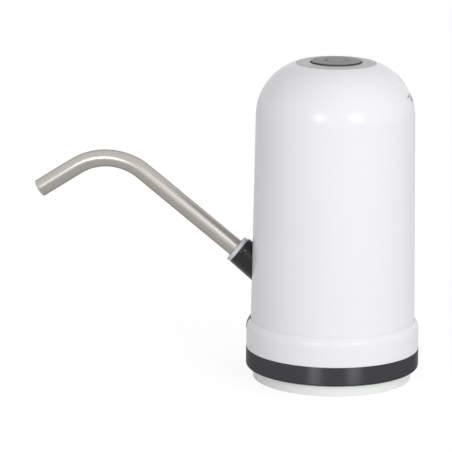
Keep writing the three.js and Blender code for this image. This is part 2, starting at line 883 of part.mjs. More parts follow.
// A barb that stands on the origin, with two ridges near its tip.
function barb(length) {
  const ridgeLength = barbLength / 4;
  const ridges = [1, 2].map((i) => {
    const top = length - (i - 1) * ridgeLength;
    const taper = { sides: smallSides, topRadius: barbRadius };
    return bar(barbRadius + barbRidge, top - ridgeLength, top, taper);
  });
  return join(bar(barbRadius, 0, length, { sides: smallSides }), ...ridges);
}

function makeSpoutSleeve() {
  const inner = spoutRadius + runGap;
  const outer = inner + sleeveTubeWall - runGap / 2;
  const foot = insertReach + fitGap;
  const flangeFoot = mouthReach + runGap / 2;
  const ring = revolveRing(
    [
      [inner, foot],
      [outer, foot],
      [outer, flangeFoot],
      [sleeveFlangeRadius, flangeFoot],
      [sleeveFlangeRadius, socketReach - fitGap],
      [sleeveFlangeRadius - fitGap, socketReach],
      [inner, socketReach],
    ],
    midSides,
  );
  return onSpoutAxis(ring);
}

// Straight stem out of the socket, one bend, then a short straight tip.
function makeSpoutTube() {
  const start = socketRoot.clone().addScaledVector(spoutAxis, insertReach);
  const bendStart = socketRoot.clone().addScaledVector(spoutAxis, socketReach + spoutStemLength);
  const centre = bendStart.clone().addScaledVector(slopeAxis(spoutRise + 90), -spoutBendRadius);
  const bend = Array.from({ length: spoutBendSteps + 1 }, (_, i) => {
    const slope = spoutRise - ((spoutRise + spoutDroop) * i) / spoutBendSteps;
    const point = centre.clone().addScaledVector(slopeAxis(slope + 90), spoutBendRadius);
    return { point, along: slopeAxis(slope) };
  });
  const { point, along } = bend.at(-1);
  const tip = { point: point.clone().addScaledVector(along, spoutTipLength), along };
  const stations = [{ point: start, along: spoutAxis }, ...bend, tip];
  return pipe(stations, spoutRadius, spoutRadius - spoutWall, midSides);
}

// Down from the elbow's barb, round a quarter turn, and onto the pump's barb.
function makeOutletHose() {
  const radius = hoseBoreRadius + hoseWall;
  const top = { point: elbow.clone().setZ(elbow.z - elbowRadius - fitGap), along: slopeAxis(-90) };
  const centre = new THREE.Vector3(elbow.x + hoseBendRadius, 0, outletHeight + hoseBendRadius);
  const bend = Array.from({ length: hoseBendSteps + 1 }, (_, i) => {
    const slope = -90 - (90 * i) / hoseBendSteps;
    const point = centre.clone().addScaledVector(slopeAxis(slope + 90), hoseBendRadius);
    return { point, along: slopeAxis(slope) };
  });
  const end = { point: new THREE.Vector3(outletRootX - fitGap, 0, outletHeight), along: slopeAxis(180) };
  return pipe([top, ...bend, end], radius, hoseBoreRadius, smallSides);
}

// A spring band with two pinch ears, round the hose where it grips the pump's barb.
function makeHoseClip() {
  const outer = hoseClipOuter;
  const inner = outer - hoseClipThickness;
  const half = hoseClipWidth / 2;
  const band = revolveRing([[inner, -half], [outer, -half], [outer, half], [inner, half]], smallSides);
  const ears = [-1, 1].map((side) => {
    const near = (side * hoseClipThickness) / 2;
    return block(
      [near, near + side * hoseClipThickness],
      [outer - hoseClipThickness / 2, outer + hoseClipEar],
      [-half, half],
    );
  });
  const middle = (outletRootX + outletTipX) / 2;
  return join(band, ...ears).rotateX(Math.PI).rotateY(Math.PI / 2).translate(middle, 0, outletHeight);
}

// Pump

function pumpOutline() {
  return roundedRectangle(pumpHalfX, pumpHalfY, pumpCornerRadius, pumpX);
}

function pumpScrewSpots() {
  const reachX = pumpHalfX - pumpScrewInset;
  const reachY = pumpHalfY - pumpScrewInset;
  return [-1, 1].flatMap((sx) => [-1, 1].map((sy) => ({ x: pumpX + sx * reachX, y: sy * reachY })));
}

function pumpScrewHoles(low, high) {
  return pumpScrewSpots().map((spot) =>
    bar(smallScrewRadius + fitGap, low, high, { ...spot, sides: tinySides }),
  );
}

// The room that the two gears turn in, with the suction side opened towards the inlet.
function gearChamber(low, high) {
  const wells = [driveY, idlerY].map((y) => bar(chamberRadius, low, high, { x: pumpX, y }));
  const suction = block(
    [pumpX + gearTipRadius / 2, nippleX + inletRadius],
    [-inletRadius, inletRadius],
    [low, high],
  );
  return join(...wells, suction);
}

function makePumpCover() {
  const low = pumpFoot - overrun;
  const high = gasketFoot + overrun;
  const inlet = bar(inletRadius, low, high, { x: nippleX, sides: smallSides });
  return cut(prism(pumpOutline(), pumpFoot, gasketFoot), inlet, ...pumpScrewHoles(low, high));
}

function makePumpGasket() {
  const low = gasketFoot - overrun;
  const high = pumpBodyFoot + overrun;
  const sheet = prism(pumpOutline(), gasketFoot, pumpBodyFoot);
  return cut(sheet, gearChamber(low, high), ...pumpScrewHoles(low, high));
}

function makePumpBody() {
  const box = prism(pumpOutline(), pumpBodyFoot, pumpRoof);
  const flange = bar(motorRadius, pumpRoof - bond, motorFoot, { x: pumpX, y: driveY });
  const boss = bar(outletBossRadius, 0, outletBossLength + bond, { sides: smallSides });
  const outletBarb = barb(barbLength + bond).rotateY(-Math.PI / 2);
  outletBarb.translate(outletRootX + bond, 0, outletHeight);
  const outlet = bar(passageRadius, outletTipX - overrun, pumpX - gearTipRadius / 2, { sides: smallSides });
  const low = chamberTop - overrun;
  const at = { x: pumpX, sides: smallSides };
  return cut(
    join(box, flange, boss.rotateY(Math.PI / 2).translate(outletRootX, 0, outletHeight), outletBarb),
    gearChamber(pumpBodyFoot - overrun, chamberTop),
    outlet.rotateY(Math.PI / 2).translate(0, 0, outletHeight),
    bar(shaftRadius + fitGap, low, motorFoot + overrun, { ...at, y: driveY }),
    bar(shaftSealRadius + runGap, shaftSealFoot, motorFoot + overrun, { ...at, y: driveY }),
    bar(shaftRadius + runGap, low, chamberTop + pinSeatDepth, { ...at, y: idlerY }),
    ...pumpScrewHoles(pumpBodyFoot - overrun, pumpFoot + pumpScrewReach + screwTipRoom),
  );
}

// One gear seen from above: involute flanks, with the teeth thinned for backlash.
function gearShape(turn) {
  const base = gearPitchRadius * Math.cos(rad(gearPressureAngle));
  const involute = (radius) => {
    const pressure = Math.acos(Math.min(base / radius, 1));
    return Math.tan(pressure) - pressure;
  };
  const thickness = (Math.PI * gearModule - gearBacklash) / 2;
  const halfTooth = thickness / (2 * gearPitchRadius) + involute(gearPitchRadius);
  const flank = Array.from({ length: flankSteps + 1 }, (_, i) => {
    const radius = base + ((gearTipRadius - base) * i) / flankSteps;
    return { radius, angle: halfTooth - involute(radius) };
  });
  const spot = (radius, angle) => new THREE.Vector2(radius * Math.cos(angle), radius * Math.sin(angle));
  const outline = Array.from({ length: gearTeeth }, (_, tooth) => {
    const middle = turn + (2 * Math.PI * tooth) / gearTeeth;
    return [
      spot(gearRootRadius, middle - halfTooth),
      ...flank.map((step) => spot(step.radius, middle - step.angle)),
      ...flank.toReversed().map((step) => spot(step.radius, middle + step.angle)),
      spot(gearRootRadius, middle + halfTooth),
    ];
  }).flat();
  const shape = new THREE.Shape(outline);
  const bore = new THREE.Path();
  bore.absarc(0, 0, shaftRadius + runGap, 0, 2 * Math.PI, true);
  shape.holes.push(bore);
  return shape;
}

function makeGear(y, turn) {
  return prism(gearShape(turn), gearFoot, gearTop, smallSides / 2).translate(pumpX, y, 0);
}

function makeShaftSeal() {
  const inner = shaftRadius + runGap;
  const top = motorFoot - fitGap;
  const profile = [
    [inner, shaftSealFoot],
    [shaftSealRadius, shaftSealFoot],
    [shaftSealRadius, top],
    [inner, top],
  ];
  return revolveRing(profile, smallSides).translate(pumpX, driveY, 0);
}

function makeInletNipple() {
  const foot = neckDepth - nippleReach;
  const ridges = [1, 2].flatMap((i) => [
    [nippleShoulderRadius, foot + i * nippleRidgeLength],
    [nippleRadius, foot + i * nippleRidgeLength],
  ]);
  const profile = [
    [nippleBoreRadius, foot],
    [nippleRadius, foot],
    ...ridges,
    [nippleRadius, neckDepth - nippleRidgeLength],
    [nippleShoulderRadius, neckDepth - nippleRidgeLength],
    [nippleShoulderRadius, webTop],
    [nippleFlangeRadius, webTop],
    [nippleFlangeRadius, webTop + nippleFlangeThickness],
    [nippleBoreRadius, webTop + nippleFlangeThickness],
  ];
  return revolveRing(profile, midSides).translate(nippleX, 0, 0);
}

function makeInletSeal() {
  const half = inletSealThickness / 2;
  const middle = webTop + nippleFlangeThickness + half;
  const section = Array.from({ length: tinySides }, (_, i) => {
    const angle = (2 * Math.PI * i) / tinySides;
    return [inletSealRadius + half * Math.cos(angle), middle + half * Math.sin(angle)];
  });
  return revolveRing(section, midSides).translate(nippleX, 0, 0);
}

// Motor

function makeMotorCan() {
  const bore = shaftRadius + fitGap;
  const inner = motorRadius - motorWall;
  const can = revolveRing(
    [
      [bore, motorFoot],
      [motorRadius, motorFoot],
      [motorRadius, motorCanTop],
      [inner, motorCanTop],
      [inner, motorFoot + motorFaceThickness],
      [bore, motorFoot + motorFaceThickness],
    ],
    midSides,
  );
  return can.translate(pumpX, driveY, 0);
}

function makeMotorMagnet(middle) {
  const outer = motorRadius - motorWall - fitGap;
  const foot = motorFoot + motorFaceThickness;
  const shape = ringSector(outer - magnetThickness, outer, middle, magnetSpan);
  return prism(shape, foot, foot + magnetLength, sectorSteps).translate(pumpX, driveY, 0);
}

function makeMotorRotor() {
  const foot = motorFoot + motorFaceThickness + armatureLift;
  const top = foot + armatureLength;
  const shoeInner = armatureRadius - armatureShoe;
  const coilSpan = [foot - coilOverhang, top + coilOverhang];
  const poles = Array.from({ length: armaturePoles }, (_, i) => {
    const middle = (360 * i) / armaturePoles;
    const shoe = prism(ringSector(shoeInner, armatureRadius, middle, armatureShoeSpan), foot, top);
    const spoke = block([0, shoeInner + bond], [-armatureSpoke / 2, armatureSpoke / 2], [foot, top]);
    const coil = block([0, shoeInner - coilGap], [-coilWidth / 2, coilWidth / 2], coilSpan);
    return join(shoe, spoke.rotateZ(rad(middle)), coil.rotateZ(rad(middle)));
  });
  const commutatorTop = top + coilOverhang + commutatorLength;
  const hub = bar(commutatorRadius, foot, commutatorTop, { sides: smallSides });
  const bore = bar(shaftRadius + runGap, foot - overrun, commutatorTop + overrun, { sides: smallSides });
  return cut(join(hub, ...poles), bore).translate(pumpX, driveY, 0);
}

function makeMotorShaft() {
  return bar(shaftRadius, gearFoot, motorCanTop, { x: pumpX, y: driveY, sides: smallSides });
}

function makeIdlerPin() {
  const top = chamberTop + pinSeatDepth - runGap;
  return bar(shaftRadius, gasketFoot, top, { x: pumpX, y: idlerY, sides: smallSides });
}

function makeMotorEndCap() {
  const bore = shaftRadius + fitGap;
  const plugRadius = motorRadius - motorWall - fitGap;
  const flangeTop = motorCanTop + endCapFlange;
  const disc = revolveRing(
    [
      [bore, motorCanTop - endCapPlug],
      [plugRadius, motorCanTop - endCapPlug],
      [plugRadius, motorCanTop],
      [motorRadius, motorCanTop],
      [motorRadius, flangeTop],
      [endCapBossRadius, flangeTop],
      [endCapBossRadius, flangeTop + endCapBossHeight],
      [bore, flangeTop + endCapBossHeight],
    ],
    midSides,
  );
  const reach = (motorRadius + endCapBossRadius) / 2;
  const terminals = [-1, 1].map((side) =>
    block(
      [side * reach, side * (reach + terminalThickness)],
      [-terminalWidth / 2, terminalWidth / 2],
      [flangeTop - bond, flangeTop + terminalHeight],
    ),
  );
  return join(disc, ...terminals).translate(pumpX, driveY, 0);
}

// Battery and control board

function makeBatteryCell() {
  const round = cellEdgeRound;
  const top = cellShelfHeight + cellLength;
  const crimp = top - 3 * round;
  const cell = revolve(
    [
      [0, cellShelfHeight],
      [cellRadius - round, cellShelfHeight],
      [cellRadius, cellShelfHeight + round],
      [cellRadius, crimp - round],
      [cellRadius - round / 2, crimp],
      [cellRadius, crimp + round],
      [cellRadius, top - round],
      [cellRadius - round, top],
      [cellTipRadius, top],
      [cellTipRadius, top + cellTipHeight],
      [0, top + cellTipHeight],
    ],
    midSides,
  );
  return cell.translate(cellX, cellY, 0);
}

function makeControlBoard() {
  const board = block(
    [boardX, boardX + boardThickness],
    [-boardHalfWidth, boardHalfWidth],
    [chassisTop, chassisTop + boardHeight],
  );
  const parts = boardPartShares.map(([across, up, halfWidth, halfHeight, thick]) =>
    block(
      [boardX - thick * boardHalfWidth, boardX + bond],
      [(across - halfWidth) * boardHalfWidth, (across + halfWidth) * boardHalfWidth],
      [chassisTop + (up - halfHeight) * boardHeight, chassisTop + (up + halfHeight) * boardHeight],
    ),
  );
  return join(board, ...parts);
}

// Chassis: a floor plate with a motor cradle, a battery cradle and two board rails

function makeChassis() {
  const floor = bar(chassisRadius, webTop, chassisTop, { sides: wideSides });
  const away = deg(Math.atan2(cellY - driveY, cellX - pumpX));
  const motorAt = { x: pumpX, y: driveY };
  const cellAt = { x: cellX, y: cellY };
  const cellInner = cellRadius + fitGap;
  const shelfFoot = cellShelfHeight - cellShelfThickness;
  return cut(
    join(
      floor,
      cradle(motorRadius + fitGap, 90, motorCradleSpan, motorCradleTop, motorAt),
      cradle(cellInner, away, cellCradleSpan, cellCradleTop, cellAt),
      bar(cellInner + bond, shelfFoot, cellShelfHeight, cellAt),
      ...pumpPads(),
      ...boardRails(),
    ),
    boardSlot(),
    bar(nippleFlangeRadius + fitGap, webTop - overrun, chassisTop + overrun, { x: nippleX }),
    ...cradleWindows(),
    ...caseScrewHoles(webTop - overrun, chassisTop + overrun),
  );
}

// Half a cylinder that stands on the floor and opens away from the direction `middle`.
function cradle(inner, middle, span, top, at) {
  const wall = ringSector(inner, inner + cradleWall, middle, span, at);
  return prism(wall, chassisTop - bond, top, sectorSteps);
}

function cradleWindows() {
  const half = cradleWindow / 2;
  const cellOuter = cellRadius + fitGap + cradleWall;
  const motorMiddle = (motorFoot + motorCradleTop) / 2;
  const motorWindow = block(
    [pumpX - half, pumpX + half],
    [driveY, driveY + motorCradleOuter + overrun],
    [motorMiddle - half, motorMiddle + half],
  );
  const cellWindows = cellWindowShares.map((share) => {
    const middle = cellShelfHeight + (cellCradleTop - cellShelfHeight) * share;
    return block(
      [cellX - half, cellX + half],
      [cellY - cellOuter - overrun, cellY],
      [middle - cradleWindow, middle + cradleWindow],
    );
  });
  return [motorWindow, ...cellWindows];
}

// Two bars under the pump's cover, one each side of the nipple.
function pumpPads() {
  return [-1, 1].map((side) => {
    const near = side * (nippleFlangeRadius + 2 * fitGap);
    return block(
      [pumpX - pumpHalfX + pumpPadInset, pumpX + pumpHalfX - pumpPadInset],
      [near, near + side * pumpPadWidth],
      [chassisTop - bond, pumpFoot],
    );
  });
}

function boardRails() {
  const middle = boardX + boardThickness / 2;
  return [-1, 1].map((side) => {
    const near = side * (boardHalfWidth - railWidth / 2);
    return block(
      [middle - railDepth / 2, middle + railDepth / 2],
      [near, near + side * railWidth],
      [chassisTop - bond, chassisTop + railHeight],
    );
  });
}

function boardSlot() {
  const reach = boardHalfWidth + runGap;
  return block(
    [boardX - runGap, boardX + boardThickness + runGap],
    [-reach, reach],
    [chassisTop, chassisTop + boardHeight],
  );
}

// Screws, with the head at the foot and the shank upwards

function screw(radius, length, { x, y }, height) {
  const body = join(
    bar(radius + screwHeadWidth, -screwHeadHeight, 0, { sides: tinySides }),
    bar(radius, -bond, length, { sides: tinySides }),
  );
  const recess = bar(driveRecessRadius, -screwHeadHeight - overrun, driveRecessDepth - screwHeadHeight, {
    sides: driveRecessSides,
  });
  return cut(body, recess).translate(x, y, height);
}

// Materials

function plastic(color, roughness) {
  return new THREE.MeshStandardMaterial({ color, roughness, metalness: 0 });
}

function metal(color, roughness) {
  return new THREE.MeshStandardMaterial({ color, roughness, metalness: 1 });
}

const glossWhite = plastic(0xf1f1f3, 0.18);
const collarWhite = plastic(0xe6e8e6, 0.3);
const bandBlack = plastic(0x2f2e33, 0.4);
const socketBlack = plastic(0x242428, 0.2);
const tabGrey = plastic(0x4a4a4d, 0.5);
const bezelGrey = plastic(0xb3b3b1, 0.35);
const buttonGrey = plastic(0x7f8281, 0.4);
const siliconeGrey = plastic(0xb9bcbe, 0.5);
const siliconeClear = plastic(0xdfe3e2, 0.35);
const rubberBlack = plastic(0x202022, 0.7);
const satinSteel = metal(0xb4afa9, 0.3);
const zincSteel = metal(0x9fa3a6, 0.4);
const gearWhite = plastic(0xe9e6dc, 0.45);
const pumpBlack = plastic(0x2a2b2e, 0.45);
const chassisWhite = plastic(0xdcdcd8, 0.5);
const boardGreen = plastic(0x1f6b3a, 0.5);
const cellBlue = plastic(0x2f6fae, 0.4);
const copper = metal(0xb06a3a, 0.4);
const ferrite = plastic(0x4b4c50, 0.7);

// Assembly

const jugPump = new THREE.Group();
const fromFoot = new THREE.Group();
fromFoot.position.z = -neckDepth;
jugPump.add(fromFoot);

function add(name, geometry, material) {
  const mesh = new THREE.Mesh(geometry, material.clone());
  mesh.name = name;
  fromFoot.add(mesh);
}

function addScrews(name, radius, length, spots, height) {
  spots.forEach((spot, i) => add(`${name}_${i + 1}`, screw(radius, length, spot, height), zincSteel));
}

add("base_housing", makeBaseHousing(), glossWhite);
add("index_tab", makeIndexTab(), tabGrey);
add("trim_band", makeTrimBand(), bandBlack);
add("neck_collar", makeNeckCollar(), collarWhite);
add("neck_gasket", makeNeckGasket(), siliconeClear);
add("body_shell", makeBodyShell(), glossWhite);

add("button_bezel", makeButtonBezel(), bezelGrey);
add("button_cap", makeButtonCap(), buttonGrey);
add("switch_board", makeSwitchBoard(), boardGreen);
add("tact_switch", makeTactSwitch(), pumpBlack);
add("switch_plunger", makePlunger(), pumpBlack);
add("charge_board", makeChargeBoard(), boardGreen);
add("usb_socket", makeUsbSocket(), zincSteel);

add("spout_socket", makeSpoutSocket(), socketBlack);
add("spout_sleeve", makeSpoutSleeve(), siliconeGrey);
add("spout_tube", makeSpoutTube(), satinSteel);
add("outlet_hose", makeOutletHose(), siliconeClear);
add("hose_clip", makeHoseClip(), zincSteel);

add("inlet_nipple", makeInletNipple(), glossWhite);
add("inlet_seal", makeInletSeal(), rubberBlack);
add("pump_cover", makePumpCover(), pumpBlack);
add("pump_gasket", makePumpGasket(), rubberBlack);
add("pump_body", makePumpBody(), pumpBlack);
add("drive_gear", makeGear(driveY, -Math.PI / 2), gearWhite);
add("idler_gear", makeGear(idlerY, Math.PI / 2 + Math.PI / gearTeeth), gearWhite);
add("idler_pin", makeIdlerPin(), zincSteel);
add("shaft_seal", makeShaftSeal(), rubberBlack);

add("motor_can", makeMotorCan(), zincSteel);
add("motor_magnet_1", makeMotorMagnet(0), ferrite);
add("motor_magnet_2", makeMotorMagnet(180), ferrite);
add("motor_rotor", makeMotorRotor(), copper);
add("motor_shaft", makeMotorShaft(), zincSteel);
add("motor_end_cap", makeMotorEndCap(), pumpBlack);

add("chassis", makeChassis(), chassisWhite);
add("battery_cell", makeBatteryCell(), cellBlue);
add("control_board", makeControlBoard(), boardGreen);

addScrews("case_screw", caseScrewRadius, caseScrewLength, caseScrewSpots(), neckDepth);
addScrews("pump_screw", smallScrewRadius, pumpScrewReach, pumpScrewSpots(), pumpFoot);
addScrews("switch_screw", smallScrewRadius, smallScrewLength, switchScrewSpots(), switchBoardHeight);

export default jugPump;
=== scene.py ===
import json
import math

import bmesh
import bpy
from mathutils import Matrix, Quaternion, Vector


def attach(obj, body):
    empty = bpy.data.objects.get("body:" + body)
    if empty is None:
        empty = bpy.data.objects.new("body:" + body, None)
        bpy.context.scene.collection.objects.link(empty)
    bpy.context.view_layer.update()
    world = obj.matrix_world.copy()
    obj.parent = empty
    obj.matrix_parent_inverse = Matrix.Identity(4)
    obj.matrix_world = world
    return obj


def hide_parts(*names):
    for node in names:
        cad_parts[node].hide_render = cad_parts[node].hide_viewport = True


mm = 0.001
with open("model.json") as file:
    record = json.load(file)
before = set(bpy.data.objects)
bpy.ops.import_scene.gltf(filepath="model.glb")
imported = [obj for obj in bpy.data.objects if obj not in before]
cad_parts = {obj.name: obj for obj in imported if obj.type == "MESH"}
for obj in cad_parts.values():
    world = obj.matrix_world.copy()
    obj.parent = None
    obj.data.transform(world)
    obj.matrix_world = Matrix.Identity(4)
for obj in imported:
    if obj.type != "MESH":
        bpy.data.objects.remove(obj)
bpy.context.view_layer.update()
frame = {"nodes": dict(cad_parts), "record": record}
print("frame loaded:", len(frame["nodes"]), "nodes")

# Camera, solved from the photograph
camera = {
    "place": (135.19, -1398.8, 368.06),
    "turn": 7.5,  # degrees round from straight on
    "dip": 12.71,
    "roll": 0.4,
    "lens": 254.7,
    "sensor": 36,
    "clipNear": 100,
    "clipFar": 20000,
}


def makeCamera():
    data = bpy.data.cameras.new("camera")
    data.sensor_width = camera["sensor"]
    data.lens = camera["lens"]
    data.clip_start = camera["clipNear"] * mm
    data.clip_end = camera["clipFar"] * mm
    lens = bpy.data.objects.new("camera", data)
    bpy.context.scene.collection.objects.link(lens)
    turn, dip = math.radians(camera["turn"]), math.radians(camera["dip"])
    ahead = Vector((-math.sin(turn) * math.cos(dip), math.cos(turn) * math.cos(dip), -math.sin(dip)))
    lens.location = Vector(camera["place"]) * mm
    lens.rotation_mode = "QUATERNION"
    roll = Quaternion((0, 0, 1), math.radians(camera["roll"]))
    lens.rotation_quaternion = ahead.to_track_quat("-Z", "Y") @ roll
    bpy.context.scene.camera = lens


makeCamera()
bpy.context.scene.view_settings.view_transform = "Standard"
print("camera placed")


# sRGB hex to the linear values that a shader takes
def linearColour(code):
    channels = [int(code[i : i + 2], 16) / 255 for i in (1, 3, 5)]
    return [c / 12.92 if c <= 0.04045 else ((c + 0.055) / 1.055) ** 2.4 for c in channels] + [1]


# One node with its settings; an input is a value, or a socket to link from
def addNode(tree, kind, inputs=None, **settings):
    node = tree.nodes.new("ShaderNode" + kind)
    for key, value in settings.items():
        setattr(node, key, value)
    for key, value in (inputs or {}).items():
        if isinstance(value, bpy.types.NodeSocket):
            tree.links.new(value, node.inputs[key])
        else:
            node.inputs[key].default_value = value
    return node


def emptyTree(owner):
    owner.use_nodes = True
    owner.node_tree.nodes.clear()
    return owner.node_tree


# A texture's scale for a grain of this many millimetres
def grainScale(size):
    return 1 / (size * mm)


# Room: white to the camera, softly lit from the front and right, with a fill from behind
room = {
    "evenLight": 0.53,
    "sideLight": 0.48,
    "from": (0.866, -0.5, 0),
    "fillLight": 0.5,
    "fillFrom": (-0.55, 0.83, 0),
    "white": "#ffffff",
}


def makeRoom():
    world = bpy.data.worlds.new("studio")
    bpy.context.scene.world = world
    tree = emptyTree(world)
    direction = addNode(tree, "TexCoord").outputs["Generated"]
    towards, behind = Vector(room["from"]).normalized(), Vector(room["fillFrom"]).normalized()
    facing = addNode(tree, "VectorMath", {0: direction, 1: towards}, operation="DOT_PRODUCT")
    low, high = room["evenLight"] - room["sideLight"], room["evenLight"] + room["sideLight"]
    front = addNode(
        tree, "MapRange", {"Value": facing.outputs["Value"], "From Min": -1, "To Min": low, "To Max": high}
    ).outputs["Result"]
    away = addNode(tree, "VectorMath", {0: direction, 1: behind}, operation="DOT_PRODUCT")
    lobe = addNode(tree, "Math", {0: away.outputs["Value"], 1: 0}, operation="MAXIMUM").outputs[0]
    spread = addNode(tree, "Math", {0: lobe, 1: lobe}, operation="MULTIPLY").outputs[0]
    level = addNode(tree, "Math", {0: spread, 1: room["fillLight"], 2: front}, operation="MULTIPLY_ADD")
    white = linearColour(room["white"])
    lit = addNode(tree, "Background", {"Color": white, "Strength": level.outputs[0]})
    seen = addNode(tree, "Background", {"Color": white, "Strength": 1})
    shown = seenDirectly(tree)
    mixed = addNode(tree, "MixShader", {0: shown, 1: lit.outputs[0], 2: seen.outputs[0]})
    addNode(tree, "OutputWorld", {"Surface": mixed.outputs[0]})


# 1 for what the camera sees, straight or in metal and clear plastic
def seenDirectly(tree):
    path = addNode(tree, "LightPath").outputs
    two = addNode(tree, "Math", {0: path["Is Camera Ray"], 1: path["Is Glossy Ray"]}, operation="MAXIMUM")
    three = addNode(tree, "Math", {0: two.outputs[0], 1: path["Is Transmission Ray"]}, operation="MAXIMUM")
    return three.outputs[0]


floor = {
    "height": -18.02,
    "reach": 6000,
    "paint": "#ededed",
    "seenPaint": "#898989",
    "seenGlow": 0.84,
    "glossLoss": 0.32,  # how much less the floor glows where metal and gloss mirror it
}


def makeFloor():
    bm = bmesh.new()
    bmesh.ops.create_grid(bm, x_segments=1, y_segments=1, size=floor["reach"] * mm)
    bmesh.ops.translate(bm, verts=bm.verts[:], vec=(0, 0, floor["height"] * mm))
    mesh = bpy.data.meshes.new("floor")
    bm.to_mesh(mesh)
    bm.free()
    ground = bpy.data.objects.new("floor", mesh)
    bpy.context.scene.collection.objects.link(ground)
    paper = bpy.data.materials.new("backdrop paper")
    tree = emptyTree(paper)
    bounce = addNode(tree, "BsdfDiffuse", {"Color": linearColour(floor["paint"])})
    shade = addNode(tree, "BsdfDiffuse", {"Color": linearColour(floor["seenPaint"])})
    mirrored = addNode(tree, "LightPath").outputs["Is Glossy Ray"]
    level = addNode(
        tree, "Math", {0: mirrored, 1: -floor["glossLoss"], 2: floor["seenGlow"]}, operation="MULTIPLY_ADD"
    )
    glow = addNode(tree, "Emission", {"Color": linearColour(room["white"]), "Strength": level.outputs[0]})
    bright = addNode(tree, "AddShader", {0: shade.outputs[0], 1: glow.outputs[0]})
    top = addNode(tree, "MixShader", {0: seenDirectly(tree), 1: bounce.outputs[0], 2: bright.outputs[0]})
    clear = addNode(tree, "BsdfTransparent")
    behind = addNode(tree, "NewGeometry").outputs["Backfacing"]
    mixed = addNode(tree, "MixShader", {0: behind, 1: top.outputs[0], 2: clear.outputs[0]})
    addNode(tree, "OutputMaterial", {"Surface": mixed.outputs[0]})
    mesh.materials.append(paper)


# Two softboxes in front, left and right of the camera
softboxes = [
    {"name": "boxLeft", "turn": -17, "lift": 16, "away": 1300, "width": 330, "height": 300, "watts": 3},
    {"name": "boxRight", "turn": 35, "lift": 16, "away": 1300, "width": 380, "height": 300, "watts": 3.1},
]
softboxAim = (0, 0, 55)


def makeSoftboxes():
    for box in softboxes:
        light = bpy.data.lights.new(box["name"], "AREA")
        light.shape = "RECTANGLE"
        light.size = box["width"] * mm
        light.size_y = box["height"] * mm
        light.energy = box["watts"]
        lamp = bpy.data.objects.new(box["name"], light)
        bpy.context.scene.collection.objects.link(lamp)
        turn, lift = math.radians(box["turn"]), math.radians(box["lift"])
        outwards = Vector((math.sin(turn) * math.cos(lift), -math.cos(turn) * math.cos(lift), math.sin(lift)))
        lamp.location = (Vector(softboxAim) + outwards * box["away"]) * mm
        lamp.rotation_mode = "QUATERNION"
        lamp.rotation_quaternion = (-outwards).to_track_quat("-Z", "Y")
        lamp.visible_camera = False


makeRoom()
makeFloor()
makeSoftboxes()
print("room, floor and softboxes made")


# What a finish has unless its own values say otherwise
plainLook = {"ior": 1.5, "metallic": 0, "edgeTint": "#ffffff", "subsurface": 0, "subsurfaceDepth": 0}
grainDetail = 3
quarterTurn = 0.25  # turns the stretched highlight of a brushed finish upright


# Injection-moulded plastic: an even skin, a slight waviness from the mould and a fine grain in it
def mouldedPlastic(name, values):
    look = {**plainLook, **values}
    material = bpy.data.materials.new(name)
    tree = emptyTree(material)
    place = addNode(tree, "TexCoord").outputs["Object"]
    cloud = addNode(tree, "TexNoise", {"Vector": place, "Scale": grainScale(look["cloudSize"])})
    tint = addNode(
        tree,
        "Mix",
        {0: cloud.outputs["Fac"], 6: linearColour(look["colour"]), 7: linearColour(look["shade"])},
        data_type="RGBA",
    )
    polish = addNode(
        tree,
        "MapRange",
        {
            "Value": cloud.outputs["Fac"],
            "To Min": look["roughness"] - look["uneven"],
            "To Max": look["roughness"] + look["uneven"],
        },
    )
    grain = addNode(
        tree,
        "TexNoise",
        {"Vector": place, "Scale": grainScale(look["grainSize"]), "Detail": grainDetail},
    )
    bump = addNode(
        tree,
        "Bump",
        {
            "Height": grain.outputs["Fac"],
            "Strength": look["grainStrength"],
            "Distance": look["grainDepth"] * mm,
        },
    )
    shader = addNode(
        tree,
        "BsdfPrincipled",
        {
            "Base Color": tint.outputs[2],
            "Roughness": polish.outputs["Result"],
            "Normal": bump.outputs["Normal"],
            "IOR": look["ior"],
            "Metallic": look["metallic"],
            "Specular Tint": linearColour(look["edgeTint"]),
            "Subsurface Weight": look["subsurface"],
            "Subsurface Scale": look["subsurfaceDepth"] * mm,
        },
    )
    if "anisotropic" in look:
        roundAxis = addNode(tree, "Tangent", direction_type="RADIAL", axis="Z")
        shader.inputs["Anisotropic"].default_value = look["anisotropic"]
        shader.inputs["Anisotropic Rotation"].default_value = quarterTurn
        tree.links.new(roundAxis.outputs["Tangent"], shader.inputs["Tangent"])
    addNode(tree, "OutputMaterial", {"Surface": shader.outputs[0]})
    return material


finishes = {}
# Polished ABS: bright white with a clear, slightly wavy gloss
finishes["gloss_white"] = mouldedPlastic(
    "polished white ABS",
    {
        "colour": "#f1f0f4", "shade": "#efeef2", "cloudSize": 30, "roughness": 0.21, "uneven": 0.02,
        "grainSize": 1.6, "grainStrength": 0.05, "grainDepth": 0.02, "ior": 1.33,
    },
)
# Polypropylene: milky white, so that light goes a little way in
finishes["collar_white"] = mouldedPlastic(
    "milky polypropylene",
    {
        "colour": "#fafbf9", "shade": "#f6f8f5", "cloudSize": 18, "roughness": 0.34, "uneven": 0.04,
        "grainSize": 0.8, "grainStrength": 0.08, "grainDepth": 0.02, "subsurface": 0.1,
        "subsurfaceDepth": 1,
    },
)
# Smoked metal film on ABS, brushed round the band so that its highlights stand upright
finishes["band_black"] = mouldedPlastic(
    "smoked metal film, brushed",
    {
        "colour": "#535257", "shade": "#4f4e52", "cloudSize": 12, "roughness": 0.38, "uneven": 0.02,
        "grainSize": 0.5, "grainStrength": 0.04, "grainDepth": 0.02, "metallic": 1,
        "edgeTint": "#cbcbcb", "anisotropic": 1,
    },
)
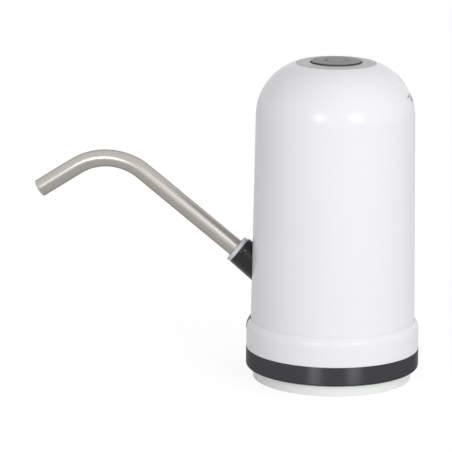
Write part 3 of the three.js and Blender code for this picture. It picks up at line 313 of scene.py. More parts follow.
# Black ABS from a polished mould: deep black with small, clear highlights
finishes["socket_black"] = mouldedPlastic(
    "polished black ABS",
    {
        "colour": "#121215", "shade": "#0e0e11", "cloudSize": 8, "roughness": 0.11, "uneven": 0.03,
        "grainSize": 0.6, "grainStrength": 0.04, "grainDepth": 0.02, "ior": 1.52,
    },
)
# Thermoplastic elastomer: a dark, soft sheen beside the gloss of the skirt
finishes["tab_grey"] = mouldedPlastic(
    "grey elastomer",
    {
        "colour": "#4b4b4e", "shade": "#434346", "cloudSize": 4, "roughness": 0.5, "uneven": 0.05,
        "grainSize": 0.4, "grainStrength": 0.15, "grainDepth": 0.03,
    },
)
# Grey ABS, spark-eroded mould: a soft even sheen
finishes["bezel_grey"] = mouldedPlastic(
    "satin grey ABS",
    {
        "colour": "#bfbfbd", "shade": "#b9b9b7", "cloudSize": 9, "roughness": 0.38, "uneven": 0.04,
        "grainSize": 0.35, "grainStrength": 0.12, "grainDepth": 0.02,
    },
)
# The same plastic from a coarser mould: darker, and duller under the finger
finishes["button_grey"] = mouldedPlastic(
    "matt grey ABS",
    {
        "colour": "#737573", "shade": "#6d6f6d", "cloudSize": 7, "roughness": 0.42, "uneven": 0.04,
        "grainSize": 0.3, "grainStrength": 0.14, "grainDepth": 0.02,
    },
)
# Nearly black and dull, without a highlight
buttonDarkFinish = mouldedPlastic(
    "nearly black dull finish",
    {
        "colour": "#3a3937", "shade": "#343331", "cloudSize": 4, "roughness": 0.55, "uneven": 0.05,
        "grainSize": 0.3, "grainStrength": 0.1, "grainDepth": 0.02,
    },
)
# Silicone: soft, slightly milky, with a faint bloom of dust in its grain
finishes["silicone_grey"] = mouldedPlastic(
    "grey silicone",
    {
        "colour": "#d3d6d9", "shade": "#cccfd2", "cloudSize": 5, "roughness": 0.48, "uneven": 0.06,
        "grainSize": 0.35, "grainStrength": 0.12, "grainDepth": 0.03, "ior": 1.41,
        "subsurface": 0.05, "subsurfaceDepth": 0.5,
    },
)
# Unpigmented silicone: cloudy, and light shows through its lips
finishes["silicone_clear"] = mouldedPlastic(
    "milky silicone",
    {
        "colour": "#dfe3e1", "shade": "#d5d9d7", "cloudSize": 6, "roughness": 0.4, "uneven": 0.06,
        "grainSize": 0.4, "grainStrength": 0.1, "grainDepth": 0.03, "ior": 1.41, "subsurface": 0.4,
        "subsurfaceDepth": 2,
    },
)
# Rubber, moulded and dusted: black and dull
finishes["rubber_black"] = mouldedPlastic(
    "nitrile rubber",
    {
        "colour": "#232324", "shade": "#1b1b1c", "cloudSize": 3, "roughness": 0.7, "uneven": 0.06,
        "grainSize": 0.25, "grainStrength": 0.2, "grainDepth": 0.03,
    },
)
# Acetal: ivory, waxy, cut smooth by its mould
finishes["gear_white"] = mouldedPlastic(
    "natural acetal",
    {
        "colour": "#ebe7da", "shade": "#e2ddce", "cloudSize": 4, "roughness": 0.4, "uneven": 0.05,
        "grainSize": 0.3, "grainStrength": 0.08, "grainDepth": 0.02, "subsurface": 0.2,
        "subsurfaceDepth": 1,
    },
)
# Nylon with glass fibres near its skin: dark, with a broken sheen
finishes["pump_black"] = mouldedPlastic(
    "glass-filled nylon",
    {
        "colour": "#2d2e31", "shade": "#242528", "cloudSize": 5, "roughness": 0.5, "uneven": 0.08,
        "grainSize": 0.25, "grainStrength": 0.3, "grainDepth": 0.03,
    },
)
# White ABS from an unpolished mould: flat and a little yellow
finishes["chassis_white"] = mouldedPlastic(
    "white ABS, unpolished",
    {
        "colour": "#deded9", "shade": "#d6d6d1", "cloudSize": 14, "roughness": 0.5, "uneven": 0.05,
        "grainSize": 0.5, "grainStrength": 0.15, "grainDepth": 0.03,
    },
)
# Glass-fibre board: the weave shows faintly through the solder mask
finishes["board_green"] = mouldedPlastic(
    "solder mask on glass fibre",
    {
        "colour": "#1f6b3a", "shade": "#195a31", "cloudSize": 1.2, "roughness": 0.35,
        "uneven": 0.08, "grainSize": 0.5, "grainStrength": 0.3, "grainDepth": 0.03,
    },
)
# Shrink film drawn tight: a smooth shine with slow waves
finishes["cell_blue"] = mouldedPlastic(
    "blue shrink sleeve",
    {
        "colour": "#2f6fae", "shade": "#28639e", "cloudSize": 9, "roughness": 0.28, "uneven": 0.05,
        "grainSize": 2.5, "grainStrength": 0.1, "grainDepth": 0.05,
    },
)
# Wound wire under enamel: warm, with the turns of the wire as its grain
finishes["copper"] = mouldedPlastic(
    "enamelled copper wire",
    {
        "colour": "#b8703f", "shade": "#9c5930", "cloudSize": 0.5, "roughness": 0.35, "uneven": 0.1,
        "grainSize": 0.35, "grainStrength": 0.5, "grainDepth": 0.08, "metallic": 1,
    },
)
# Ferrite, pressed and sintered: dull grey and slightly granular
finishes["ferrite"] = mouldedPlastic(
    "sintered ferrite",
    {
        "colour": "#4f5054", "shade": "#44454a", "cloudSize": 1.5, "roughness": 0.75,
        "uneven": 0.08, "grainSize": 0.2, "grainStrength": 0.35, "grainDepth": 0.04,
    },
)
# Zinc plating, bright dipped: pale, a little cloudy
finishes["zinc_steel"] = mouldedPlastic(
    "zinc-plated steel",
    {
        "colour": "#a4a8ab", "shade": "#93979b", "cloudSize": 2, "roughness": 0.35, "uneven": 0.07,
        "grainSize": 0.2, "grainStrength": 0.12, "grainDepth": 0.01, "metallic": 1,
    },
)


# Stainless tube, drawn and belt-polished: hairlines run along it, and read the tube's unbent shape
steelTube = {
    "colour": "#c3bfb9",
    "shade": "#b8b4ae",
    "edgeTint": "#a09c97",  # stainless steel mirrors less at a glancing view
    "roughness": 0.3,
    "uneven": 0.02,
    "hairWidth": 0.12,  # real hairlines are finer; this is as fine as shows
    "hairStretch": 0.004,
    "hairDepth": 0.002,
    "hairStrength": 0.04,
    "hairDetail": 4,
    "smudgeSize": 9,
}


def makeSteelTubeFinish():
    material = bpy.data.materials.new("belt-polished stainless steel")
    tree = emptyTree(material)
    unbent = addNode(tree, "Attribute", attribute_name="unbent").outputs["Vector"]
    stretched = addNode(
        tree, "Mapping", {"Vector": unbent, "Scale": (1, 1, steelTube["hairStretch"])}
    ).outputs["Vector"]
    hair = addNode(
        tree,
        "TexNoise",
        {"Vector": stretched, "Scale": grainScale(steelTube["hairWidth"]), "Detail": steelTube["hairDetail"]},
    ).outputs["Fac"]
    smudge = addNode(
        tree, "TexNoise", {"Vector": unbent, "Scale": grainScale(steelTube["smudgeSize"])}
    ).outputs["Fac"]
    tint = addNode(
        tree,
        "Mix",
        {0: hair, 6: linearColour(steelTube["colour"]), 7: linearColour(steelTube["shade"])},
        data_type="RGBA",
    )
    polish = addNode(
        tree,
        "MapRange",
        {
            "Value": smudge,
            "To Min": steelTube["roughness"] - steelTube["uneven"],
            "To Max": steelTube["roughness"] + steelTube["uneven"],
        },
    )
    bump = addNode(
        tree,
        "Bump",
        {"Height": hair, "Strength": steelTube["hairStrength"], "Distance": steelTube["hairDepth"] * mm},
    )
    shader = addNode(
        tree,
        "BsdfPrincipled",
        {
            "Base Color": tint.outputs[2],
            "Metallic": 1,
            "Specular Tint": linearColour(steelTube["edgeTint"]),
            "Roughness": polish.outputs["Result"],
            "Normal": bump.outputs["Normal"],
        },
    )
    addNode(tree, "OutputMaterial", {"Surface": shader.outputs[0]})
    return material


finishes["satin_steel"] = makeSteelTubeFinish()
print("finishes made:", len(finishes))


mergeDistance = 1e-7  # metres; nearer points become one
sharpAngle = math.radians(32)  # faces that meet more sharply keep a crisp edge


# A profile of (radius, height) or (radius, height, rounding) points
def profileShape(points, closed=True, roundSteps=4):
    bm = bmesh.new()
    corners = [bm.verts.new((point[0] * mm, 0, point[1] * mm)) for point in points]
    pairs = list(zip(corners, corners[1:]))
    if closed:
        pairs.append((corners[-1], corners[0]))
    for first, second in pairs:
        bm.edges.new((first, second))
    for corner, point in zip(corners, points):
        if len(point) > 2:
            bmesh.ops.bevel(
                bm,
                geom=[corner],
                offset=point[2] * mm,
                offset_type="OFFSET",
                affect="VERTICES",
                segments=roundSteps,
                profile=0.5,
                material=-1,
                clamp_overlap=True,
            )
    return bm


def spinShape(bm, steps):
    bmesh.ops.spin(
        bm,
        geom=bm.verts[:] + bm.edges[:],
        cent=(0, 0, 0),
        axis=(0, 0, 1),
        angle=2 * math.pi,
        steps=steps,
        use_merge=True,
        use_duplicate=False,
    )
    bmesh.ops.remove_doubles(bm, verts=bm.verts[:], dist=mergeDistance)
    bmesh.ops.recalc_face_normals(bm, faces=bm.faces[:])
    return bm


def arcPoints(centreX, centreZ, radius, start, end, steps):
    turns = [math.radians(start + (end - start) * i / steps) for i in range(steps + 1)]
    return [(centreX + radius * math.cos(t), centreZ + radius * math.sin(t)) for t in turns]


def shapeToObject(bm, name):
    mesh = bpy.data.meshes.new(name)
    bm.to_mesh(mesh)
    bm.free()
    made = bpy.data.objects.new(name, mesh)
    bpy.context.scene.collection.objects.link(made)
    return made


# Cuts one object out of another, or joins it on, and deletes it
def combine(target, tool, operation="DIFFERENCE"):
    change = target.modifiers.new("combine", "BOOLEAN")
    change.operation = operation
    change.solver = "EXACT"
    change.object = tool
    graph = bpy.context.evaluated_depsgraph_get()
    graph.update()
    result = bpy.data.meshes.new_from_object(target.evaluated_get(graph))
    target.modifiers.clear()
    old = target.data
    target.data = result
    bpy.data.meshes.remove(old)
    bpy.data.objects.remove(tool)
    return target


# Smooth faces with sharp corners, a finish, and the body that the piece moves with
def dress(piece, finish, body, slotName, *nodes):
    mesh = piece.data
    mesh.materials.clear()
    mesh.materials.append(finish)
    for polygon in mesh.polygons:
        polygon.use_smooth = True
        polygon.material_index = 0
    mesh.set_sharp_from_angle(angle=sharpAngle)
    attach(piece, body)
    if nodes:
        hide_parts(*nodes)
    return piece


# A box round the Z axis from low to high, with its four upright edges rounded
def roundedBlock(sizeX, sizeY, low, high, corner, steps=6):
    bm = bmesh.new()
    bmesh.ops.create_cube(bm, size=1)
    bmesh.ops.scale(bm, verts=bm.verts[:], vec=(sizeX * mm, sizeY * mm, (high - low) * mm))
    bmesh.ops.translate(bm, verts=bm.verts[:], vec=(0, 0, (low + high) / 2 * mm))
    upright = [e for e in bm.edges if abs(e.verts[0].co.z - e.verts[1].co.z) > mergeDistance]
    bmesh.ops.bevel(
        bm, geom=upright, offset=corner * mm, affect="EDGES", segments=steps, profile=0.5, material=-1
    )
    return bm


# A round bar on the Z axis from low to high
def upright(radius, low, high, steps=48):
    bm = bmesh.new()
    bmesh.ops.create_cone(
        bm, cap_ends=True, segments=steps, radius1=radius * mm, radius2=radius * mm, depth=(high - low) * mm
    )
    bmesh.ops.translate(bm, verts=bm.verts[:], vec=(0, 0, (low + high) / 2 * mm))
    return bm


def moved(bm, matrix):
    bmesh.ops.transform(bm, matrix=matrix, verts=bm.verts[:])
    return bm


# Drills a round hole along the Z axis of a place, or joins a round bar on there
def drill(target, place, radius, low, high, steps=48, operation="DIFFERENCE"):
    bar = shapeToObject(moved(upright(radius, low, high, steps), place), "roundBar")
    combine(target, bar, operation)


# A place this many degrees round the pump's axis, this far out and up
def aroundAxis(turn, out, up=0):
    return Matrix.Rotation(math.radians(turn), 4, "Z") @ Matrix.Translation(Vector((out, 0, up)) * mm)


# The line of the spout's stem, and where it crosses the body wall
stem = {"rise": 38.6, "root": (-36.801, 0, 33.8)}
stemPlace = Matrix.Translation(Vector(stem["root"]) * mm) @ Matrix.Rotation(
    math.radians(stem["rise"] - 90), 4, "Y"
)

# The rounded corner of the dome, seen in section
dome = {"centreX": 10.4, "centreZ": 102.1, "radius": 25.2, "wall": 2.2, "steps": 36, "innerSteps": 14}


# A place on a line out of the dome's corner at the rear, tilted above the horizontal
def rearPlace(tilt):
    lean = Matrix.Rotation(math.radians(90 - tilt), 4, "Y") @ Matrix.Rotation(math.pi, 4, "Z")
    return Matrix.Translation(Vector((dome["centreX"], 0, dome["centreZ"])) * mm) @ lean


body = {
    "footZ": 2.4,
    "shoulderZ": 9.1,
    "footRadius": 37.05,
    "topRadius": 35.6,
    "crownRadius": 17.86,
    "seatZ": 124.5,
    "boreRadius": 13.9,
    "shelfZ": 122.5,
    "lip": 0.25,
    "turns": 192,
    "wallSteps": 24,
    "holeRadius": 7.6,
    "holeLow": -9,
    "holeHigh": 8.9,
    "holeSteps": 64,
    "flatTilt": 34,
    "flatDepth": 23.75,
    "flatFoot": -4.2,
    "flatTop": 9,
    "flatWidth": 20,
    "flatCorner": 2.4,
    "flatSteps": 10,
    "flatOver": 4,
    "portTilt": 21,
    "portWidth": 7.6,
    "portHeight": 2.7,
    "portCorner": 0.9,
    "portLow": 20,
    "portHigh": 28.2,
}


def makeBody():
    crownAngle = math.degrees(math.acos((body["crownRadius"] - dome["centreX"]) / dome["radius"]))
    innerRadius = dome["radius"] - dome["wall"]
    shelfAngle = math.degrees(math.asin((body["shelfZ"] - dome["centreZ"]) / innerRadius))
    inner = body["footRadius"] - dome["wall"]
    wall = [
        (
            body["footRadius"] + (body["topRadius"] - body["footRadius"]) * i / body["wallSteps"],
            body["shoulderZ"] + (dome["centreZ"] - body["shoulderZ"]) * i / body["wallSteps"],
        )
        for i in range(body["wallSteps"])
    ]
    outerDome = arcPoints(dome["centreX"], dome["centreZ"], dome["radius"], 0, crownAngle, dome["steps"])
    innerDome = arcPoints(dome["centreX"], dome["centreZ"], innerRadius, shelfAngle, 0, dome["innerSteps"])
    outerDome[-1] = (*outerDome[-1], body["lip"])
    profile = [
        (inner, body["footZ"]),
        (body["footRadius"], body["footZ"]),
        *wall,
        *outerDome,
        (body["crownRadius"], body["seatZ"]),
        (body["boreRadius"], body["seatZ"]),
        (body["boreRadius"], body["shelfZ"]),
        *innerDome,
        (inner, body["shoulderZ"]),
    ]
    shell = shapeToObject(spinShape(profileShape(profile), body["turns"]), "bodyShell")
    drill(shell, stemPlace, body["holeRadius"], body["holeLow"], body["holeHigh"], body["holeSteps"])
    flatLength = body["flatTop"] - body["flatFoot"]
    flat = roundedBlock(
        flatLength,
        body["flatWidth"],
        body["flatDepth"],
        body["flatDepth"] + body["flatOver"],
        body["flatCorner"],
        body["flatSteps"],
    )
    shift = Matrix.Translation(((body["flatFoot"] + flatLength / 2) * mm, 0, 0))
    combine(shell, shapeToObject(moved(flat, rearPlace(body["flatTilt"]) @ shift), "thumbFlat"))
    slot = roundedBlock(
        body["portHeight"], body["portWidth"], body["portLow"], body["portHigh"], body["portCorner"]
    )
    combine(shell, shapeToObject(moved(slot, rearPlace(body["portTilt"])), "portSlot"))
    dress(shell, finishes["gloss_white"], "root", "gloss_white", "body_shell")


makeBody()
print("body shell made")

base = {
    "webFoot": 0,
    "webTop": 2.4,
    "boreRadius": 28.2,
    "grooveRadius": 29.6,
    "grooveTop": -4.6,
    "grooveFoot": -14.1,
    "sleeveRadius": 31.2,
    "sleeveFoot": -16.8,
    "channelRadius": 35.6,
    "bandRadius": 37.4,
    "bandFoot": -10.9,
    "bandTop": -4,
    "skirtRadius": 38.95,
    "skirtTop": 9.1,
    "lipRadius": 37.15,
    "crownFoot": 4.9,
    "crownPower": 2.3,
    "crownSteps": 14,
    "smallRound": 0.3,
    "roundSteps": 8,
    "turns": 192,
    "nippleX": 12,
    "nippleHole": 4.5,
    "screwCircle": 33.4,
    "screwHole": 1.4,
    "screwSteps": 24,
    "screws": 3,
    "ribsPerScrew": 3,
    "ribWidth": 1.4,
    "ribDepth": 5,
    "tabSpan": 19,
    "tabFoot": 4.3,
    "tabInner": 35.3,
    "tabSteps": 12,
    "over": 3,
}


# The skirt's crown: it rolls over from the wall and slopes in to the body
def crownPoints():
    steps = base["crownSteps"]
    run, rise = base["skirtRadius"] - base["lipRadius"], base["skirtTop"] - base["crownFoot"]
    shares = [i / steps for i in range(steps + 1)]
    return [
        (base["lipRadius"] + run * (1 - share ** base["crownPower"]), base["crownFoot"] + rise * share)
        for share in shares
    ]


# A profile swept round the axis: a sector of a ring, centred on -X
def ringSector(points, span, steps):
    bm = profileShape(points)
    bmesh.ops.contextual_create(bm, geom=bm.edges[:])
    start = Matrix.Rotation(math.radians(180 - span / 2), 4, "Z")
    moved(bm, start)
    bmesh.ops.spin(
        bm,
        geom=bm.faces[:] + bm.edges[:] + bm.verts[:],
        cent=(0, 0, 0),
        axis=(0, 0, 1),
        angle=math.radians(span),
        steps=steps,
        use_duplicate=False,
        use_merge=False,
    )
    return bm


# Closes the two ends that a sweep leaves open
def closeEnds(bm):
    bmesh.ops.remove_doubles(bm, verts=bm.verts[:], dist=mergeDistance)
    bmesh.ops.holes_fill(bm, edges=[e for e in bm.edges if e.is_boundary], sides=0)
    bmesh.ops.recalc_face_normals(bm, faces=bm.faces[:])
    return bm


# Short ribs across the channel, between the screws
def addRibs(housing):
    small = base["smallRound"]
    length = base["channelRadius"] - base["sleeveRadius"] + small * 2
    size = Vector((length, base["ribWidth"], base["ribDepth"] + small)) * mm
    middle = (base["channelRadius"] + base["sleeveRadius"]) / 2
    for i in range(base["screws"]):
        for k in range(base["ribsPerScrew"]):
            turn = 360 / base["screws"] * (i + (k + 1) / (base["ribsPerScrew"] + 1))
            rib = bmesh.new()
            bmesh.ops.create_cube(rib, size=1)
            bmesh.ops.scale(rib, verts=rib.verts[:], vec=size)
            moved(rib, aroundAxis(turn, middle, (small - base["ribDepth"]) / 2))
            combine(housing, shapeToObject(rib, "webRib"), "UNION")


def makeBase():
    small = base["smallRound"]
    profile = [
        (0, base["webFoot"]),
        (base["boreRadius"], base["webFoot"], small),
        (base["boreRadius"], base["grooveTop"]),
        (base["grooveRadius"], base["grooveTop"]),
        (base["grooveRadius"], base["grooveFoot"]),
        (base["boreRadius"], base["grooveFoot"]),
        (base["boreRadius"], base["sleeveFoot"], small),
        (base["sleeveRadius"], base["sleeveFoot"], small),
        (base["sleeveRadius"], base["webFoot"]),
        (base["channelRadius"], base["webFoot"]),
        (base["channelRadius"], base["bandFoot"]),
        (base["bandRadius"], base["bandFoot"]),
        (base["bandRadius"], base["bandTop"]),
        (base["skirtRadius"], base["bandTop"], small / 2),
        *crownPoints(),
        (base["lipRadius"], base["webTop"]),
        (0, base["webTop"]),
    ]
    shape = spinShape(profileShape(profile, closed=False, roundSteps=base["roundSteps"]), base["turns"])
    housing = shapeToObject(shape, "baseHousing")
    addRibs(housing)
    low, high = -base["over"], base["webTop"] + base["over"]
    for i in range(base["screws"]):
        place = aroundAxis(360 / base["screws"] * i, base["screwCircle"])
        drill(housing, place, base["screwHole"], low, high, base["screwSteps"])
    drill(housing, aroundAxis(0, base["nippleX"]), base["nippleHole"], low, high)
    near, far = base["tabInner"], base["skirtRadius"] + base["over"]
    low, high = base["tabFoot"], base["skirtTop"] + base["over"]
    corners = [(near, low), (far, low), (far, high), (near, high)]
    notch = ringSector(corners, base["tabSpan"], base["tabSteps"])
    combine(housing, shapeToObject(closeEnds(notch), "tabNotch"))
    dress(housing, finishes["gloss_white"], "root", "gloss_white", "base_housing")


makeBase()
print("base housing made")

tab = {
    "proud": 0.15,
    "span": 18,
    "steps": 14,
    "edgeRound": 0.15,
    "edgeSteps": 3,
    "cornerAngle": 40,  # only corners sharper than this are rounded
}


# The tab follows the crown of the skirt, and stands a little proud of it
def makeTab():
    inner, foot = base["lipRadius"], base["tabFoot"]
    ledge = inner + 2 * tab["edgeRound"]
    crown = [(max(reach + tab["proud"], ledge), height) for reach, height in crownPoints()]
    outer = base["skirtRadius"] + tab["proud"]
    points = [(inner, foot), (outer, foot), *crown, (inner, crown[-1][1])]
    bm = closeEnds(ringSector(points, tab["span"], tab["steps"]))
    bmesh.ops.bevel(
        bm,
        geom=[e for e in bm.edges if e.calc_face_angle(0) > math.radians(tab["cornerAngle"])],
        offset=tab["edgeRound"] * mm,
        affect="EDGES",
        segments=tab["edgeSteps"],
        profile=0.5,
        material=-1,
    )
    dress(shapeToObject(bm, "indexTab"), finishes["tab_grey"], "root", "tab_grey", "index_tab")


makeTab()

band = {
    "lipRadius": 36.1,
    "innerRadius": 37.7,
    "outerRadius": 39.1,
    "foot": -12.75,
    "lipTop": -11.2,
    "top": -4,
    "footRound": 1.3,
    "topRound": 0.15,
    "roundSteps": 8,
    "turns": 192,
}


def makeBand():
    profile = [
        (band["lipRadius"], band["foot"]),
        (band["outerRadius"], band["foot"], band["footRound"]),
        (band["outerRadius"], band["top"], band["topRound"]),
        (band["innerRadius"], band["top"]),
        (band["innerRadius"], band["lipTop"]),
        (band["lipRadius"], band["lipTop"]),
    ]
    shape = spinShape(profileShape(profile, roundSteps=band["roundSteps"]), band["turns"])
    dress(shapeToObject(shape, "trimBand"), finishes["band_black"], "root", "band_black", "trim_band")


makeBand()

collar = {
    "innerRadius": 28.5,
    "outerRadius": 35.8,
    "foot": -18,
    "footRound": 0.45,
    "innerRound": 0.5,
    "roundSteps": 6,
    "step": -12.6,
    "clipRadius": 35.3,
    "clipInner": 33.8,
    "clipTop": -6,
    "floor": -15.9,
    "ledgeRadius": 31.5,
    "ledge": -17.1,
    "turns": 192,
}


def makeCollar():
    profile = [
        (collar["innerRadius"], collar["foot"], collar["innerRound"]),
        (collar["outerRadius"], collar["foot"], collar["footRound"]),
        (collar["outerRadius"], collar["step"]),
        (collar["clipRadius"], collar["step"]),
        (collar["clipRadius"], collar["clipTop"]),
        (collar["clipInner"], collar["clipTop"]),
        (collar["clipInner"], collar["floor"]),
        (collar["ledgeRadius"], collar["floor"]),
        (collar["ledgeRadius"], collar["ledge"]),
        (collar["innerRadius"], collar["ledge"]),
    ]
    shape = spinShape(profileShape(profile, roundSteps=collar["roundSteps"]), collar["turns"])
    dress(shapeToObject(shape, "neckCollar"), finishes["collar_white"], "root", "collar_white", "neck_collar")


makeCollar()

gasket = {
    "backRadius": 29.3,
    "faceRadius": 27.9,
    "lip": 0.9,
    "foot": -14.1,
    "top": -4.9,
    "lipShares": (0.12, 0.5, 0.88),
    "lipRound": 0.25,
    "turns": 144,
}


def makeGasket():
    profile = [(gasket["backRadius"], gasket["foot"]), (gasket["backRadius"], gasket["top"])]
    profile.append((gasket["faceRadius"], gasket["top"]))
    for share in reversed(gasket["lipShares"]):
        middle = gasket["foot"] + (gasket["top"] - gasket["foot"]) * share
        profile += [
            (gasket["faceRadius"], middle + gasket["lip"]),
            (gasket["faceRadius"] - gasket["lip"], middle, gasket["lipRound"]),
            (gasket["faceRadius"], middle - gasket["lip"]),
        ]
    profile.append((gasket["faceRadius"], gasket["foot"]))
    shape = spinShape(profileShape(profile), gasket["turns"])
    piece = shapeToObject(shape, "neckGasket")
    dress(piece, finishes["silicone_clear"], "root", "silicone_clear", "neck_gasket")


makeGasket()

nipple = {
    "bore": 2.4,
    "radius": 3.6,
    "ridge": 4.2,
    "foot": -14,
    "ridgeLength": 2.5,
    "shoulder": -2.5,
    "flange": 6.4,
    "top": 4.4,
    "round": 0.3,
    "turns": 64,
}


def makeNipple():
    small = nipple["round"]
    profile = [(nipple["bore"], nipple["foot"], small), (nipple["radius"], nipple["foot"], small)]
    for i in (1, 2):
        barb = nipple["foot"] + i * nipple["ridgeLength"]
        profile += [(nipple["ridge"], barb, small / 2), (nipple["radius"], barb)]
    profile += [
        (nipple["radius"], nipple["shoulder"]),
        (nipple["ridge"], nipple["shoulder"], small),
        (nipple["ridge"], base["webTop"]),
        (nipple["flange"], base["webTop"]),
        (nipple["flange"], nipple["top"]),
        (nipple["bore"], nipple["top"]),
    ]
    shape = spinShape(profileShape(profile), nipple["turns"])
    moved(shape, aroundAxis(0, base["nippleX"]))
    dress(shapeToObject(shape, "inletNipple"), finishes["gloss_white"], "root", "gloss_white", "inlet_nipple")


makeNipple()
print("band, collar, gasket and nipple made")

bezel = {
    "bore": 11.6,
    "skirtRadius": 13.6,
    "radius": 17.8,
    "skirtFoot": 122.2,
    "seat": 124.5,
    "rim": 126.28,
    "innerRim": 126.58,
    "rimRound": 0.45,
    "innerRound": 0.3,
    "turns": 144,
}


def makeBezel():
    profile = [
        (bezel["bore"], bezel["skirtFoot"]),
        (bezel["skirtRadius"], bezel["skirtFoot"]),
        (bezel["skirtRadius"], bezel["seat"]),
        (bezel["radius"], bezel["seat"]),
        (bezel["radius"], bezel["rim"], bezel["rimRound"]),
        (bezel["bore"], bezel["innerRim"], bezel["innerRound"]),
    ]
    shape = spinShape(profileShape(profile), bezel["turns"])
    dress(shapeToObject(shape, "buttonBezel"), finishes["bezel_grey"], "root", "bezel_grey", "button_bezel")


makeBezel()

button = {
    "stemFoot": 120,
    "stemRadius": 1.75,
    "discFoot": 124.2,
    "wellRadius": 9.9,
    "flangeFoot": 120.9,
    "flangeRadius": 12.7,
    "flangeTop": 121.9,
    "ringRadius": 11.3,
    "ringTop": 127.1,
    "ringRound": 0.03,
    "ringGap": 0.01,
    "radius": 11.2,
    "edgeZ": 127.2,
    "crownZ": 127.45,
    "crownSteps": 10,
    "edgeRound": 0.12,
    "turns": 144,
    "markRadius": 5.1,
    "markTip": 6.7,
    "markLine": 0.7,
    "markTipShare": 1.3,  # the line is this much wider at the tip
    "markDepth": 0.16,
    "markProud": 0.015,
    "markSteps": 64,
}


# How high the button's shallow crown is at this distance from its middle
def crownHeight(reach):
    return button["crownZ"] - (button["crownZ"] - button["edgeZ"]) * (reach / button["radius"]) ** 2


def makeButton():
    steps = button["crownSteps"]
    crown = [button["radius"] * (1 - i / steps) for i in range(steps + 1)]
    profile = [
        (0, button["stemFoot"]),
        (button["stemRadius"], button["stemFoot"]),
        (button["stemRadius"], button["discFoot"]),
        (button["wellRadius"], button["discFoot"]),
        (button["wellRadius"], button["flangeFoot"]),
        (button["flangeRadius"], button["flangeFoot"]),
        (button["flangeRadius"], button["flangeTop"]),
        (button["radius"], button["flangeTop"]),
        (button["radius"], crownHeight(crown[0]), button["edgeRound"]),
        *[(reach, crownHeight(reach)) for reach in crown[1:]],
    ]
    shape = spinShape(profileShape(profile, closed=False), button["turns"])
    dress(shapeToObject(shape, "buttonCap"), finishes["button_grey"], "button", "button_grey", "button_cap")


# A thin, nearly black ring round the side of the cap, which shows as a dark line in front of it
def makeButtonDarkRing():
    inner, foot = button["radius"] + button["ringGap"], button["flangeTop"] + button["ringGap"]
    profile = [
        (inner, foot),
        (button["ringRadius"], foot),
        (button["ringRadius"], button["ringTop"], button["ringRound"]),
        (inner, button["ringTop"]),
    ]
    shape = spinShape(profileShape(profile), button["turns"])
    dress(shapeToObject(shape, "buttonDarkRing"), buttonDarkFinish, "button", "button_grey")


# A drop in outline, set into the middle of the cap
def makeButtonMark():
    bm = bmesh.new()
    rings = []
    for inset in (0, button["markLine"]):
        radius, tip = button["markRadius"] - inset, button["markTip"] - inset * button["markTipShare"]
        touch = math.degrees(math.acos(radius / tip))
        steps = button["markSteps"]
        turns = [math.radians(touch + (360 - 2 * touch) * i / steps) for i in range(steps + 1)]
        spots = [(tip, 0)] + [(radius * math.cos(t), radius * math.sin(t)) for t in turns]
        ring = []
        for x, y in spots:
            height = crownHeight(math.hypot(x, y)) + button["markProud"]
            ring.append(bm.verts.new((x * mm, y * mm, height * mm)))
        rings.append(ring)
    edges = [bm.edges.new((a, b)) for ring in rings for a, b in zip(ring, ring[1:] + ring[:1])]
    bmesh.ops.bridge_loops(bm, edges=edges)
    bmesh.ops.recalc_face_normals(bm, faces=bm.faces[:])
    if sum(face.normal.z for face in bm.faces) < 0:
        bmesh.ops.reverse_faces(bm, faces=bm.faces[:])
    bmesh.ops.solidify(bm, geom=bm.faces[:], thickness=button["markDepth"] * mm)
    bmesh.ops.recalc_face_normals(bm, faces=bm.faces[:])
    dress(shapeToObject(bm, "buttonMark"), buttonDarkFinish, "button", "button_grey")


makeButton()
makeButtonDarkRing()
makeButtonMark()
print("button made")

socket = {
    "rootLow": -9,
    "rootRadius": 7.2,
    "rise": 0.35,  # the nose's skin sits this much above the line of the bore
    "mouth": 7.9,
    "bellyRadius": 6.7,
    "boreRadius": 5.25,
    "boreFoot": -6.7,
    "passage": 2.2,
    "lipRound": 0.45,
    "lipSteps": 6,
    "flatReach": 6.35,
    "flatHigh": 5.9,
    "flatLean": 0.059,
    "flatRamp": 1.2,
    "edgeSoft": 0.3,
    "leastSine": 0.3,  # nearer the nose's top and foot the flats are out of reach
    "rows": 64,
    "turns": 192,
    "neckRadius": 3.6,
    "neckLow": -11,
    "neckSink": 0.4,
    "ballSteps": 48,
    "boreSteps": 96,
    "stubRadius": 1.9,
    "stubBore": 1.3,
    "stubLength": 8.6,
    "stubSteps": 32,
    "stubBoreSteps": 24,
    "over": 2,
    "saddleLow": 22.3,
    "saddleHigh": 45.3,
    "saddleOuter": 34.2,
    "saddleInner": 32.3,
    "saddleHalfWidth": 11,
    "saddleCorner": 3,
    "saddleTurns": 96,
}


# How far out the nose's skin is: a cone, with a soft-edged flat on each side that ramps out at the lip
def noseRadius(height, radius, turn):
    past = height - socket["flatHigh"]
    reach = socket["flatReach"] + (past * socket["flatRamp"] if past > 0 else -past * socket["flatLean"])
    across = reach / max(abs(math.sin(turn)), socket["leastSine"])
    soft = socket["edgeSoft"]
    return -soft * math.log(math.exp(-radius / soft) + math.exp(-across / soft))


